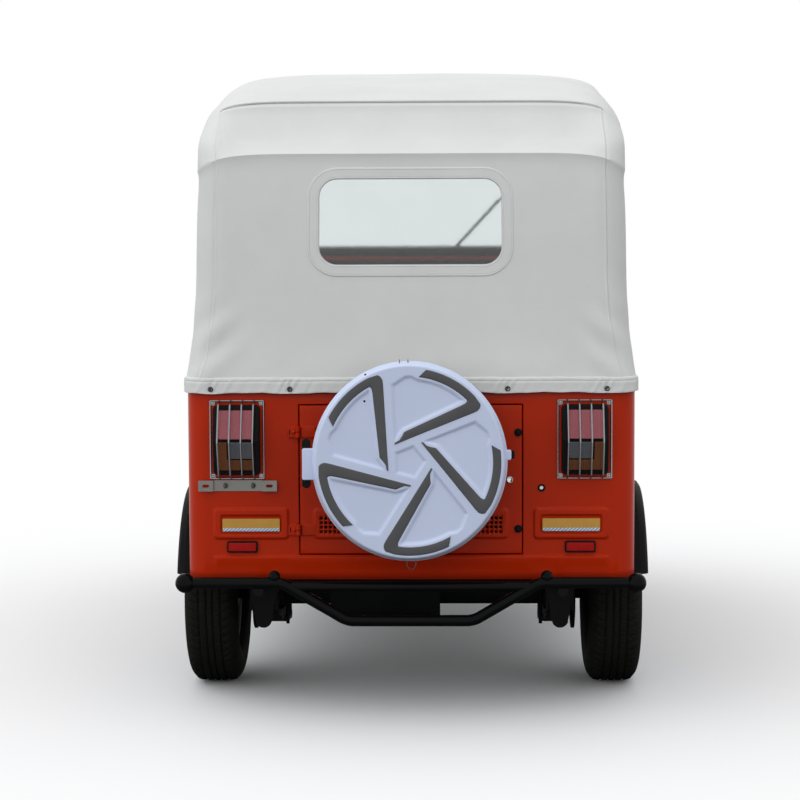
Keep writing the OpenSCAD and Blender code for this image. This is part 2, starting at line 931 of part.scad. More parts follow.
module leaf(half_len, drop) {
    arc_r = (spring_half * spring_half) / (2 * (eye_z - tyre_r + axle_r)) + 20;
    sweep = 2 * asin(half_len / arc_r);
    translate([rail_x - leaf_w / 2, rear_axle_y, tyre_r - axle_r - 0.5 + arc_r])
        rotate([90, 0, 90])
            rotate([0, 0, -90 - sweep / 2])
                linear_extrude(leaf_w)
                    intersection() {
                        difference() {
                            circle(r = arc_r + drop + leaf_t, $fn = 200);
                            circle(r = arc_r + drop, $fn = 200);
                        }
                        polygon([
                            [0, 0], [2 * arc_r, 0],
                            [2 * arc_r * cos(sweep / 2), 2 * arc_r * sin(sweep / 2)],
                            [2 * arc_r * cos(sweep), 2 * arc_r * sin(sweep)]
                        ]);
                    }
}

module leaf_springs() {
    pack_low = tyre_r - axle_r - 3 * leaf_t;
    bolt_y = axle_r + 10;
    color(black)
        both_sides()
            difference() {
                union() {
                    for (i = [0 : 2])
                        leaf(spring_half - 110 * i, leaf_t * i - 0.5 * i);
                    for (end = [-1, 1])
                        cross_bar(rail_x - leaf_w / 2, rail_x + leaf_w / 2,
                            rear_axle_y + end * spring_half, eye_z, eye_r);
                    translate([rail_x - leaf_w / 2 - 12, rear_axle_y - bolt_y - 12, pack_low - 12])
                        cube([leaf_w + 24, 2 * bolt_y + 24, 14]);
                    for (side = [-1, 1], end = [-1, 1])
                        translate([rail_x + side * (leaf_w / 2 + 7), rear_axle_y + end * bolt_y,
                                   pack_low - 20])
                            cylinder(h = 2 * axle_r + 3 * leaf_t + 24, r = 5);
                    translate([rail_x - leaf_w / 2 - 12, rear_axle_y - bolt_y - 8,
                               tyre_r + axle_r + seat_gap])
                        cube([leaf_w + 24, 2 * bolt_y + 16, 6]);
                }
                for (end = [-1, 1])
                    cross_bar(rail_x - leaf_w, rail_x + leaf_w,
                        rear_axle_y + end * spring_half, eye_z, pin_r + seat_gap);
            }
}

// Rear bumper
module rear_bumper() {
    y = rear_y - bumper_out;
    end_x = half_w - 8;
    bend_x = rail_x - 63;
    low_x = rail_x - 235;
    mid_x = rail_x - 88;
    arm_w = 30;
    right = [[end_x, y, bumper_z], [bend_x, y, bumper_z], [low_x, y, bumper_low_z]];
    color(black)
        one_skin()
            union() {
                bent_tube(concat(right, backwards(mirrored(right))), bumper_r, 70, sides = 24);
                both_sides() {
                    translate([end_x, y, bumper_z])
                        sphere(r = bumper_r + 8, $fn = 24);
                    translate([rail_x - arm_w / 2, y, rail_bottom + 4])
                        cube([arm_w, rail_rear - y, body_bottom - rail_bottom - 10]);
                    translate([rail_x - 43, y, bumper_z + bumper_r - 5])
                        sphere(r = bumper_r + 1, $fn = 24);
                }
                rod([-mid_x, y, bumper_z - 10], [mid_x, y, bumper_z - 10], bumper_r - 2, $fn = 24);
            }
}

// Tail lamps, with a ridge amid their height and a sloping face above and below it
lamp_edge = 18;
lamp_lean = atan2(lamp_depth - lamp_edge, lamp_h / 2);
lens_t = 7;
lens_in = 16;
lens_gap = 3;
red_h = 78;
clear_w = 66;
clear_h = 46;

// Sets a lens on the upper or lower face: middle across, then the distance from the ridge
module on_lamp(side, x, reach) {
    translate([lamp_x, rear_y - lamp_depth, lamp_z])
        rotate([90 - side * lamp_lean, 0, 0])
            translate([x, side * reach, 0])
                children();
}

module tail_lamps() {
    color(black)
        both_sides()
            intersection() {
                rear_plate(lamp_x, rear_y, lamp_z, lamp_w, lamp_h, 12, lamp_depth);
                side_slab(0, half_w, [
                    [rear_y, lamp_z - lamp_h / 2], [rear_y, lamp_z + lamp_h / 2],
                    [rear_y - lamp_edge, lamp_z + lamp_h / 2], [rear_y - lamp_depth, lamp_z],
                    [rear_y - lamp_edge, lamp_z - lamp_h / 2]
                ]);
            }
}

module tail_lenses() {
    color("firebrick")
        both_sides()
            on_lamp(1, 0, lens_gap + red_h / 2)
                linear_extrude(lens_t)
                    rounded_square(lamp_w - 2 * lens_in, red_h, 5);
}

module reverse_lenses() {
    color("silver")
        both_sides()
            on_lamp(-1, lens_in - lamp_w / 2 + clear_w / 2, lens_gap + clear_h / 2)
                linear_extrude(lens_t)
                    rounded_square(clear_w, clear_h, 4);
}

module turn_lenses() {
    low_h = red_h - clear_h - lens_gap;
    side_w = lamp_w - 2 * lens_in - clear_w - lens_gap;
    color("orange")
        both_sides() {
            on_lamp(-1, 0, lens_gap)
                linear_extrude(lens_t) {
                    translate([lamp_w / 2 - lens_in - side_w, -red_h])
                        square([side_w, red_h]);
                    translate([lens_in - lamp_w / 2, -red_h])
                        square([lamp_w - 2 * lens_in, low_h]);
                }
            translate([lamp_front_x - 90, nose_y, lamp_front_z - 160])
                rotate([-90, 0, 0])
                    rotate_extrude()
                        polygon([[0, 0], [32, 0], [32, 8], [26, 18], [0, 24]]);
        }
}

module lamp_guards() {
    wire_r = 2.5;
    guard_w = lamp_w + 18;
    guard_h = lamp_h + 22;
    wire_pitch = 31;
    foot_w = 18;
    y = rear_y - wire_r;
    color(steel)
        one_skin()
            both_sides() {
                for (sz = [-1, 1]) {
                    z = lamp_z + sz * guard_h / 2;
                    rod([lamp_x - guard_w / 2, y, z], [lamp_x + guard_w / 2, y, z], wire_r, $fn = 8);
                }
                for (sx = [-1, 1]) {
                    x = lamp_x + sx * guard_w / 2;
                    rod([x, y, lamp_z - guard_h / 2], [x, y, lamp_z + guard_h / 2], wire_r, $fn = 8);
                    for (sz = [-1, 1])
                        translate([x, rear_y, lamp_z + sz * guard_h / 2])
                            rotate([90, 0, 0])
                                linear_extrude(3)
                                    polygon([[0, 0], [-sx * foot_w, 0], [0, -sz * foot_w]]);
                }
                for (i = [-1.5 : 1.5]) {
                    x = lamp_x + i * wire_pitch;
                    bent_tube([
                        [x, y, lamp_z + guard_h / 2], [x, rear_y - lamp_edge - 16, lamp_z + lamp_h / 2 + 2],
                        [x, rear_y - guard_reach, lamp_z],
                        [x, rear_y - lamp_edge - 16, lamp_z - lamp_h / 2 - 2], [x, y, lamp_z - guard_h / 2]
                    ], wire_r, 12, sides = 8, steps = 3);
                }
            }
}

module plate_bracket() {
    strip_t = 3;
    strip_h = 29;
    strip_w = 136;
    end_w = 40;
    end_out = 10;
    end_x = strip_w / 2 + end_w / 2 - strip_t;
    slot_w = 8;
    slot_len = 18;
    color(steel)
        translate([-lamp_x + 1, 0, lamp_z - lamp_h / 2 - 30])
            difference() {
                union() {
                    rear_plate(0, rear_y, 0, strip_w, strip_h, 1, strip_t);
                    for (s = [-1, 1]) {
                        rear_plate(s * end_x, rear_y - end_out, 0, end_w, strip_h, 2, strip_t);
                        translate([s * (strip_w - strip_t) / 2, rear_y - (end_out + strip_t) / 2, 0])
                            cube([strip_t, end_out + strip_t, strip_h - 4], center = true);
                        translate([s * 37, rear_y - strip_t, 0])
                            rotate([90, 0, 0])
                                cylinder(h = 5, r = 6);
                    }
                }
                for (s = [-1, 1])
                    translate([s * end_x, rear_y - end_out + 1, 0])
                        rotate([90, 0, 0])
                            linear_extrude(strip_t + 2) {
                                square([slot_len - slot_w, slot_w], center = true);
                                for (e = [-1, 1])
                                    translate([e * (slot_len - slot_w) / 2, 0])
                                        circle(r = slot_w / 2);
                            }
            }
}

module badge_plates() {
    color("goldenrod")
        both_sides()
            rear_plate(pad_x, rear_y - 2, pad_z - 3, 154, 34, 3, 4);
}

module rear_reflectors() {
    both_sides()
        color("darkred")
            rear_plate(451, rear_y, pad_z - 62, 82, 31, 5, 10);
}

module mirrors() {
    arm_y = screen_y;
    arm_z = dash_z + 60;
    head_x = screen_half + 65;
    head_w = 105;
    head_h = 150;
    head_t = 24;
    color(black)
        both_sides() {
            rod([screen_half, arm_y, arm_z], [screen_half + 22, arm_y, arm_z], 7);
            rod([screen_half + 18, arm_y, arm_z], [head_x, arm_y, arm_z + 25], 6);
            translate([head_x, arm_y - head_t / 2, arm_z + 35])
                rotate([-90, 0, 0])
                    linear_extrude(head_t)
                        rounded_square(head_w, head_h, 28);
        }
}

// Rear door
hinge_x = -door_w / 2 - 6;
hinge_y = rear_y - hinge_out;
hinge_pin_r = 4;
hinge_r = 7;
hinge_heights = [door_z + 128, door_z - 134];
knuckle_h = 14;

module hinge_leaves() {
    color(paint)
        for (z = hinge_heights)
            difference() {
                union() {
                    translate([hinge_x - 24, rear_y - 3, z - 15])
                        cube([20, 3, 30]);
                    translate([hinge_x - 8, hinge_y, z - 15])
                        cube([8, hinge_out - 1, knuckle_h]);
                    translate([hinge_x, hinge_y, z - 15])
                        cylinder(h = knuckle_h, r = hinge_r);
                }
                translate([hinge_x, hinge_y, z - 16])
                    cylinder(h = 40, r = hinge_pin_r + running_gap);
            }
}

module door_hinges() {
    color(paint)
        for (z = hinge_heights) {
            translate([hinge_x, hinge_y, z - 15])
                cylinder(h = 30, r = hinge_pin_r);
            translate([hinge_x, hinge_y, z])
                cylinder(h = 15, r = hinge_r);
            translate([hinge_x, hinge_y, z])
                cube([8, hinge_out - 3, 15]);
            translate([hinge_x + 7, rear_y - 3, z - 15])
                cube([30, 3, 30]);
        }
}

vent_cols = 8;
vent_rows = 4;
vent_pitch = 12;

module rear_door() {
    vent_x = 197;
    vent_z = door_z - 121;
    color(paint)
        difference() {
            union() {
                rear_plate(0, rear_y + wall_t, door_z, door_w, door_h, 6, wall_t);
                rear_plate(0, rear_y + 1, door_z - 117, 522, 84, 12, 5);
            }
            for (s = [-1, 1], i = [0 : vent_cols - 1], j = [0 : vent_rows - 1])
                translate([
                    s * vent_x + (i - (vent_cols - 1) / 2) * vent_pitch - 4, rear_y - 10,
                    vent_z + (j - (vent_rows - 1) / 2) * vent_pitch - 4
                ])
                    cube([8, wall_t + 20, 8]);
        }
}

// Spare wheel
cover_gap = 12;
spare_mid_y = rear_y - spare_depth + cover_gap + tyre_w / 2;

module spare_carrier() {
    hub_y = spare_mid_y + 10;
    color(black)
        translate([0, 0, spare_z])
            rotate([90, 0, 0]) {
                translate([0, 0, -rear_y])
                    cylinder(h = rear_y - hub_y, r = 45);
                translate([0, 0, -rear_y])
                    cylinder(h = 6, r = 95);
                translate([0, 0, -hub_y - 6])
                    cylinder(h = 6, r = rim_r - 4);
                translate([0, 0, -spare_mid_y - 55])
                    difference() {
                        cylinder(h = 110, r = rim_r - seat_gap);
                        translate([0, 0, -1])
                            cylinder(h = 112, r = rim_r - 8);
                    }
            }
}

// Bead and shoulder of the tyre, as shares of its half width
bead_w = 0.58;
flange_w = 0.586;
shoulder_w = 0.79;
tread_w = 0.68;
bead_h = 10;

// Half a tyre's section, from its bead to its tread, as [radius, share of the half width]
tyre_section = [
    [rim_r, bead_w], [rim_r + bead_h, bead_w], [rim_r + bead_h + 5, 0.82],
    [rim_r + (tyre_r - rim_r) * 0.3, 0.96], [rim_r + (tyre_r - rim_r) * 0.5, 1],
    [rim_r + (tyre_r - rim_r) * 0.75, 0.93], [tyre_r - 10, shoulder_w], [tyre_r - 3, tread_w],
    [tyre_r, 0.4]
];

// A tyre around the X axis
module tyre() {
    w = tyre_w / 2;
    outer = [for (p = tyre_section) [p[0], p[1] * w]];
    color(black)
        rotate([0, 90, 0])
            rotate_extrude()
                polygon(concat(
                    [[rim_r + 14, bead_w * w * 0.8], [rim_r, bead_w * w * 0.8]],
                    outer,
                    [for (p = backwards(outer)) [p[0], -p[1]]],
                    [[rim_r, -bead_w * w * 0.8], [rim_r + 14, -bead_w * w * 0.8]]
                ));
}

module spare_tyre() {
    translate([0, spare_mid_y, spare_z])
        rotate([0, 0, 90])
            tyre();
}

// Lip, sunken fields and tabs of the cover; its pinwheel is given as shares of the radius
cover_rise = (cover_d / 2 - cover_t - tyre_r + 10) / 7 * (shoulder_w - tread_w);
cover_lip = cover_gap + tyre_w / 2 * (1 - shoulder_w + cover_rise) - 0.4;
cover_field_d = 5;
cover_tab_t = 12;
cover_tab_y = rear_y - spare_depth + cover_lip - 2;
arms = 5;
arm_turn = 110.9;
bar_far = 0.15;
bar_near = 0.222;
leg_in = 0.33;
field_r = 0.838;
arc_in = 0.842;
arc_out = 0.935;

// The part of the plane beyond a line, as seen from the middle
module beyond(turn, distance, r) {
    rotate(turn)
        translate([distance, -2 * r])
            square([3 * r, 4 * r]);
}

// Sunken fields between the bars of the pinwheel, and the one amid them
module cover_fields(r) {
    soft = 8;
    for (k = [0 : arms - 1])
        rotate(k * 360 / arms)
            offset(r = soft)
                offset(delta = -soft)
                    difference() {
                        intersection() {
                            circle(r = field_r * r);
                            beyond(arm_turn, leg_in * r, r);
                        }
                        beyond(arm_turn + 360 / arms, bar_far * r, r);
                    }
    rotate(arm_turn + 36)
        circle(r = (bar_far * r - 4) / cos(36), $fn = arms);
}

module on_cover() {
    translate([0, rear_y - spare_depth, spare_z])
        rotate([90, 0, 0])
            children();
}

module spare_cover() {
    r = cover_d / 2;
    low = cover_field_d + cover_t;
    color("white") {
        on_cover()
            difference() {
                union() {
                    rotate_extrude()
                        polygon([
                            [0, 0], [r - 16, 0], [r - 9, -3], [r - 3.5, -11], [r - 0.8, -22], [r, -30],
                            [r, -cover_lip], [r - cover_t, -cover_lip], [r - cover_t, -30.5],
                            [r - 0.8 - cover_t, -22.5], [r - 7.5, -12.5], [r - 12, -6.5],
                            [r - 17, -cover_t], [0, -cover_t]
                        ]);
                    translate([0, 0, -low])
                        linear_extrude(low - 1)
                            offset(delta = cover_t)
                                cover_fields(r);
                }
                translate([0, 0, -cover_field_d])
                    linear_extrude(cover_field_d + 1)
                        cover_fields(r);
            }
        difference() {
            union() {
                rear_plate(-r - 8, cover_tab_y, spare_z - 7, 34, 82, 5, cover_tab_t);
                rear_plate(r + 1, cover_tab_y, spare_z + 16, 18, 26, 5, cover_tab_t);
            }
            on_cover()
                translate([0, 0, -cover_lip - 1])
                    cylinder(h = cover_lip + 2, r = r - cover_t + 0.5);
        }
    }
}

module cover_inlays() {
    r = cover_d / 2;
    leg = [
        [bar_near, 0.06], [0.235, 0.06], [0.306, -0.055], [0.35, -0.727], [0.385, -0.765],
        [0.397, -0.847], [0.285, -0.89], [0.245, -0.865], [bar_near, -0.8]
    ];
    color("dimgray")
        on_cover()
            for (k = [0 : arms - 1])
                rotate(k * 360 / arms)
                    linear_extrude(1.5) {
                        rotate(arm_turn)
                            polygon(leg * r);
                        intersection() {
                            difference() {
                                circle(r = arc_out * r);
                                circle(r = arc_in * r);
                            }
                            polygon([
                                [0, 0], [2 * r * cos(45), 2 * r * sin(45)],
                                [2 * r * cos(81.5), 2 * r * sin(81.5)]
                            ]);
                        }
                    }
}

module door_fittings() {
    color(black) {
        for (z = [door_z + 126, door_z - 132])
            rear_plate(door_w / 2 - 7, rear_y, z, 13.8, 22, 6.8, 8);
        rear_plate(-cover_d / 2 - 15, cover_tab_y + 6, spare_z - 6, 22, 128, 10, 6);
        rear_plate(cover_d / 2 + 13, cover_tab_y + 6, spare_z + 16, 12, 22, 4, 6);
    }
    color(steel)
        rear_plate(door_w / 2 - 30, rear_y, door_z, 19, 19, 9.4, 5);
}

// Fork and steering
yoke_z = 425;
slider_top = 300;
slider_r = 28;
bar_r = 11;

module front_fork() {
    color(black)
        on_fork() {
            translate([0, 0, yoke_z])
                cylinder(h = bar_high - bar_r - yoke_z, r = stem_r - running_gap);
            translate([-fork_leg_x - 34, -28, yoke_z])
                cube([2 * fork_leg_x + 68, fork_offset + 62, 30]);
            for (s = [-1, 1]) {
                translate([s * fork_leg_x, fork_offset, -40])
                    cylinder(h = slider_top + 40, r = slider_r);
                translate([s * fork_leg_x, fork_offset, slider_top - 1])
                    cylinder(h = yoke_z - slider_top + 2, r = 21);
            }
            translate([0, fork_offset, 0])
                cross_bar(-fork_leg_x - 34, fork_leg_x + 34, 0, 0, 10);
        }
}

module handlebar() {
    right = [[300, -120, bar_high + 30], [180, -60, bar_high + 30], [90, 0, bar_high]];
    color(steel)
        one_skin()
            on_fork() {
                bent_tube(concat(right, backwards(mirrored(right))), bar_r, 40);
                translate([-45, -20, bar_high - bar_r])
                    cube([90, 40, 2 * bar_r + 6]);
                both_sides()
                    rod([304, -122, bar_high + 30], [200, -70, bar_high + 30], 17, $fn = 16);
            }
}

module front_mudguard() {
    half = fork_leg_x - slider_r - seat_gap;
    sweep = 190;
    color(paint)
        translate([0, front_axle_y, tyre_r])
            rotate([90, 0, 90])
                rotate_extrude(angle = sweep)
                    translate([guard_r - guard_t, -half])
                        square([guard_t, 2 * half]);
}

// Wheels
module rim(bore_r) {
    w = tyre_w / 2;
    hub_r = 38;
    vents = 8;
    nuts = 4;
    color(steel)
        rotate([0, 90, 0])
            difference() {
                union() {
                    rotate_extrude()
                        polygon([
                            [rim_r - 8, -w * 0.66], [rim_r + bead_h - 1, -w * 0.66],
                            [rim_r + bead_h - 1, -w * flange_w], [rim_r - seat_gap, -w * flange_w],
                            [rim_r - seat_gap, w * flange_w], [rim_r + bead_h - 1, w * flange_w],
                            [rim_r + bead_h - 1, w * 0.66], [rim_r - 8, w * 0.66]
                        ]);
                    rotate_extrude()
                        polygon([
                            [0, -10], [72, -10], [88, 4], [rim_r - 28, 14], [rim_r - 7, 4], [rim_r - 7, -4],
                            [rim_r - 30, 6], [92, -4], [76, -18], [0, -18]
                        ]);
                    translate([0, 0, -w * 0.75])
                        cylinder(h = w * 1.5, r = hub_r);
                    for (i = [0 : nuts - 1], side = [-1, 1])
                        rotate(i * 360 / nuts)
                            translate([55, 0, side * 7 - 21])
                                cylinder(h = 14, r = 9, $fn = 6);
                }
                for (i = [0 : vents - 1])
                    rotate((i + 0.5) * 360 / vents)
                        translate([106, 0, -30])
                            cylinder(h = 60, r = 11);
                translate([0, 0, -tyre_w])
                    cylinder(h = 2 * tyre_w, r = bore_r + running_gap);
            }
}

module at_wheel(x, y) {
    translate([x, y, tyre_r])
        children();
}

module front_rim() {
    at_wheel(0, front_axle_y)
        rim(10);
}

module front_tyre() {
    at_wheel(0, front_axle_y)
        tyre();
}

module rear_rim_left() {
    at_wheel(-rear_wheel_x, rear_axle_y)
        rim(spindle_r);
}

module rear_tyre_left() {
    at_wheel(-rear_wheel_x, rear_axle_y)
        tyre();
}

module rear_rim_right() {
    at_wheel(rear_wheel_x, rear_axle_y)
        rim(spindle_r);
}

module rear_tyre_right() {
    at_wheel(rear_wheel_x, rear_axle_y)
        tyre();
}

chassis_frame();
floor_pan();
rear_panel();
quarter_panels();
side_sills();
wheel_housings();
fender_flares();
nose_shell();
headlamps();
front_lenses();
grille();
dashboard();
windscreen_frame();
windscreen_glass();
wiper();
canopy_frame();
canopy();
rear_window();
driver_seat_base();
driver_cushion();
driver_backrest();
driver_rail();
seat_box();
battery_pack();
bench_cushion();
bench_backrest();
rear_axle();
leaf_springs();
rear_bumper();
tail_lamps();
tail_lenses();
reverse_lenses();
turn_lenses();
lamp_guards();
plate_bracket();
badge_plates();
rear_reflectors();
mirrors();
hinge_leaves();
front_fork();
handlebar();
front_mudguard();
front_rim();
front_tyre();
rear_rim_left();
rear_tyre_left();
rear_rim_right();
rear_tyre_right();
rear_door();
door_hinges();
spare_carrier();
spare_tyre();
spare_cover();
cover_inlays();
door_fittings();
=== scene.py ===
"""Looks of a three-wheeled passenger rickshaw with a canvas canopy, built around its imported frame."""
from __future__ import annotations

import json
import logging
import math
from dataclasses import dataclass, field
from enum import Enum
from typing import Any, Sequence

import bmesh
import bpy
import numpy as np
from mathutils import Euler, Matrix, Vector

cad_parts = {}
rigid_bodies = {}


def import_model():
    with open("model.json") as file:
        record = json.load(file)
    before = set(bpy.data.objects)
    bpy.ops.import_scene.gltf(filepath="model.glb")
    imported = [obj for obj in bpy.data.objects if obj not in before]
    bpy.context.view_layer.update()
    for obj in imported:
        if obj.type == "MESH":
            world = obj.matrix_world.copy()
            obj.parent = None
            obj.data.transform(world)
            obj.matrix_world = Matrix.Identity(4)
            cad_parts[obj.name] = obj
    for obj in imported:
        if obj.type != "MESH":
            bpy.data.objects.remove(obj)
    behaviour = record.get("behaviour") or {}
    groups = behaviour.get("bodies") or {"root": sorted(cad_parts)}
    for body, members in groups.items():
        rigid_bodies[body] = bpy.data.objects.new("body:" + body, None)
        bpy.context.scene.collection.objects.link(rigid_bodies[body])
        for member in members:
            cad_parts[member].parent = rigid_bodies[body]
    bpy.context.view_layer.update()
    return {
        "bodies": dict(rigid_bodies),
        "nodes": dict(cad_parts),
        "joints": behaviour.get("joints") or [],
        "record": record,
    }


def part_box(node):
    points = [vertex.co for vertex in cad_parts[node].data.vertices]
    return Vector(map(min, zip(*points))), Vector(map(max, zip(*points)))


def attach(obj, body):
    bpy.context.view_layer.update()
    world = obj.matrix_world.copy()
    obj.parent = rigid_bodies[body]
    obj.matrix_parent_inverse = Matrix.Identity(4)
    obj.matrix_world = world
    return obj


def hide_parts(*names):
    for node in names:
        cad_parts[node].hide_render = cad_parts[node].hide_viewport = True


LOG = logging.getLogger("rickshaw")
MM = 0.001
# A wave texture repeats every 0.314 over its scale, so a pitch in metres sets the scale.
WAVE_PERIOD = 0.314159
COAT_ROUGHNESS = 0.06
# Part of a noise texture's range that mottles a finish, and how far its roughness strays.
MOTTLE_RANGE = (0.35, 0.7)
GLOSS_SPREAD = 0.15
# Depth of a relief as a share of its pitch.
RELIEF_DEPTH = 0.3
# Angles in degrees: edges that look sharp, edges that get rounded, and faces that count as flat.
SHARP_ANGLE = 38.0
ROUNDED_ANGLE = 32.0
FLAT_ANGLE = 1.0
# Left and right, or down and up.
SIDES = (-1, 1)
Array = np.ndarray
# Vertices and faces of a part.
Shape = tuple[np.ndarray, np.ndarray]
# Middle across, middle height, width and height.
Rect = tuple[float, float, float, float]
Socket = bpy.types.NodeSocket


class Body(str, Enum):
    """The bodies that the new pieces move with."""

    SHELL = "body"
    FRONT_WHEEL = "front_wheel"
    LEFT_WHEEL = "rear_wheel_left"
    RIGHT_WHEEL = "rear_wheel_right"
    DOOR = "rear_door"


def srgb(code: str, alpha: float = 1.0) -> tuple[float, float, float, float]:
    """Turns an sRGB hex colour into linear light.

    Args:
        code: Six hex digits, such as "C8401E".
        alpha: The fourth channel.

    Returns:
        Linear red, green, blue and alpha.
    """
    channels = np.array([int(code[i:i + 2], 16) for i in (0, 2, 4)]) / 255.0
    linear = np.where(channels <= 0.04045, channels / 12.92, ((channels + 0.055) / 1.055) ** 2.4)
    return (*linear.tolist(), alpha)


def add_node(
    tree: bpy.types.NodeTree,
    kind: str,
    settings: dict[str | int, Any] | None = None,
    links: dict[str | int, Socket] | None = None,
) -> bpy.types.Node:
    """Adds one shader node.

    Args:
        tree: The node tree of a material or the world.
        kind: The node's Blender type.
        settings: Values by input name or number, or by property name.
        links: Sources by input name or number.

    Returns:
        The new node.
    """
    made = tree.nodes.new(kind)
    for key, value in (settings or {}).items():
        if isinstance(key, int) or key in made.inputs:
            made.inputs[key].default_value = value
        else:
            setattr(made, key, value)
    for key, source in (links or {}).items():
        tree.links.new(source, made.inputs[key])
    return made


class Pattern(Enum):
    """What gives a finish its relief."""

    PEEL = "orange peel of sprayed paint"
    GRAIN = "moulded or leathery grain"
    WEAVE = "crossing threads"
    BRUSHED = "fine parallel scratches"
    FLUTED = "moulded prisms of a lens"


@dataclass(frozen=True)
class Finish:
    """One real material: its colour, gloss and relief.

    The second colour mottles the first, over patches of `patch` millimetres.
    """

    name: str
    colour: str
    second: str
    slot: str
    roughness: float
    metallic: float = 0.0
    pattern: Pattern = Pattern.GRAIN
    pitch: float = 2.0
    relief: float = 0.1
    patch: float = 120.0
    mottling: float = 0.5
    coat: float = 0.0
    sheen: float = 0.0
    transmission: float = 0.0
    ior: float = 1.45
    specular: float = 0.5

    def relief_height(self, tree: bpy.types.NodeTree, where: Socket) -> Socket:
        """Draws the finish's relief.

        Args:
            tree: The material's node tree.
            where: Coordinates in metres.

        Returns:
            The height, from 0 to 1.
        """
        if self.pattern in (Pattern.WEAVE, Pattern.FLUTED):
            scale = WAVE_PERIOD / (self.pitch * MM)
            bands = [
                add_node(tree, "ShaderNodeTexWave", {"bands_direction": axis, "Scale": scale}, {"Vector": where})
                for axis in ("X", "Y")
            ]
            if self.pattern is Pattern.FLUTED:
                return bands[0].outputs["Fac"]
            crossed = add_node(
                tree, "ShaderNodeMath", {"operation": "MULTIPLY"},
                {0: bands[0].outputs["Fac"], 1: bands[1].outputs["Fac"]},
            )
            return crossed.outputs[0]
        stretch = (1.0, 1.0, 0.04) if self.pattern is Pattern.BRUSHED else (1.0, 1.0, 1.0)
        placed = add_node(tree, "ShaderNodeMapping", {"Scale": stretch}, {"Vector": where})
        noise = add_node(
            tree, "ShaderNodeTexNoise", {"Scale": 1.0 / (self.pitch * MM), "Detail": 3.0},
            {"Vector": placed.outputs[0]},
        )
        return noise.outputs["Fac"]

    def make(self) -> bpy.types.Material:
        """Builds the material once, and returns the same one after that.

        Returns:
            The material.
        """
        found = bpy.data.materials.get(self.name)
        if found:
            return found
        material = bpy.data.materials.new(self.name)
        material.use_nodes = True
        tree = material.node_tree
        shader = tree.nodes["Principled BSDF"]
        place = add_node(tree, "ShaderNodeTexCoord")
        where = place.outputs["UV" if self.pattern is Pattern.WEAVE else "Object"]
        mottle = add_node(
            tree, "ShaderNodeTexNoise", {"Scale": 1.0 / (self.patch * MM), "Detail": 5.0, "Roughness": 0.6},
            {"Vector": place.outputs["Object"]},
        )
        share = add_node(
            tree, "ShaderNodeMapRange", {"From Min": MOTTLE_RANGE[0], "From Max": MOTTLE_RANGE[1],
                                         "To Max": self.mottling},
            {"Value": mottle.outputs["Fac"]},
        )
        tint = add_node(
            tree, "ShaderNodeMix", {"data_type": "RGBA", 6: srgb(self.colour), 7: srgb(self.second)},
            {0: share.outputs[0]},
        )
        gloss = add_node(
            tree, "ShaderNodeMapRange",
            {"To Min": max(0.02, self.roughness * (1.0 - GLOSS_SPREAD)),
             "To Max": min(1.0, self.roughness * (1.0 + GLOSS_SPREAD))},
            {"Value": mottle.outputs["Fac"]},
        )
        bump = add_node(
            tree, "ShaderNodeBump", {"Strength": self.relief, "Distance": self.pitch * MM * RELIEF_DEPTH},
            {"Height": self.relief_height(tree, where)},
        )
        tree.links.new(self.tinted(tree, tint.outputs[2]), shader.inputs["Base Color"])
        tree.links.new(gloss.outputs[0], shader.inputs["Roughness"])
        tree.links.new(bump.outputs[0], shader.inputs["Normal"])
        for name, value in (
            ("Metallic", self.metallic), ("Coat Weight", self.coat), ("Coat Roughness", COAT_ROUGHNESS),
            ("Sheen Weight", self.sheen), ("Transmission Weight", self.transmission), ("IOR", self.ior),
            ("Specular IOR Level", self.specular),
        ):
            shader.inputs[name].default_value = value
        return material

    def tinted(self, tree: bpy.types.NodeTree, colour: Socket) -> Socket:
        """Lets a kind of finish draw on its colour; a plain one returns it as it is."""
        return colour


@dataclass(frozen=True)
class HatchedFinish(Finish):
    """A finish with stripes of a second ink, `stripe` millimetres wide and leaning by `slant` degrees."""

    ink: str = "6F9BC8"
    stripe: float = 3.0
    slant: float = -52.0

    def tinted(self, tree: bpy.types.NodeTree, colour: Socket) -> Socket:
        """Draws the stripes as a square wave across a slanting line.

        Args:
            tree: The material's node tree.
            colour: The colour between the stripes.

        Returns:
            The striped colour.
        """
        place = add_node(tree, "ShaderNodeTexCoord")
        leaning = add_node(tree, "ShaderNodeMapping", {"Rotation": (0.0, math.radians(self.slant), 0.0)},
                           {"Vector": place.outputs["Object"]})
        wave = add_node(tree, "ShaderNodeTexWave",
                        {"bands_direction": "X", "Scale": WAVE_PERIOD / (2.0 * self.stripe * MM)},
                        {"Vector": leaning.outputs[0]})
        edge = add_node(tree, "ShaderNodeMapRange", {"From Min": 0.45, "From Max": 0.55},
                        {"Value": wave.outputs["Fac"]})
        mixed = add_node(tree, "ShaderNodeMix", {"data_type": "RGBA", 7: srgb(self.ink)},
                         {0: edge.outputs[0], 6: colour})
        return mixed.outputs[2]


# Sprayed two-pack enamel on pressed sheet: deep colour under a glossy skin with faint orange peel.
ENAMEL = Finish("orange_sheet_enamel", "BC2A03", "B02603", "orange_paint", 0.3, coat=0.04, pattern=Pattern.PEEL,
                pitch=4.0, relief=0.05, patch=260.0, specular=0.12)
# Coated polyester canvas: matt, off-white, with a fine weave drawn at 3 mm so that it shows.
CANVAS = Finish("coated_canvas", "DCDCDA", "D2D3D3", "canvas", 0.72, sheen=0.12, pattern=Pattern.WEAVE, pitch=3.0,
                relief=0.16, patch=180.0, specular=0.25)
# Black chassis enamel: half gloss, a little dusty.
CHASSIS_BLACK = Finish("black_chassis_enamel", "121213", "1B1A19", "black_paint", 0.42, pattern=Pattern.PEEL,
                       pitch=3.0, relief=0.08, specular=0.06)
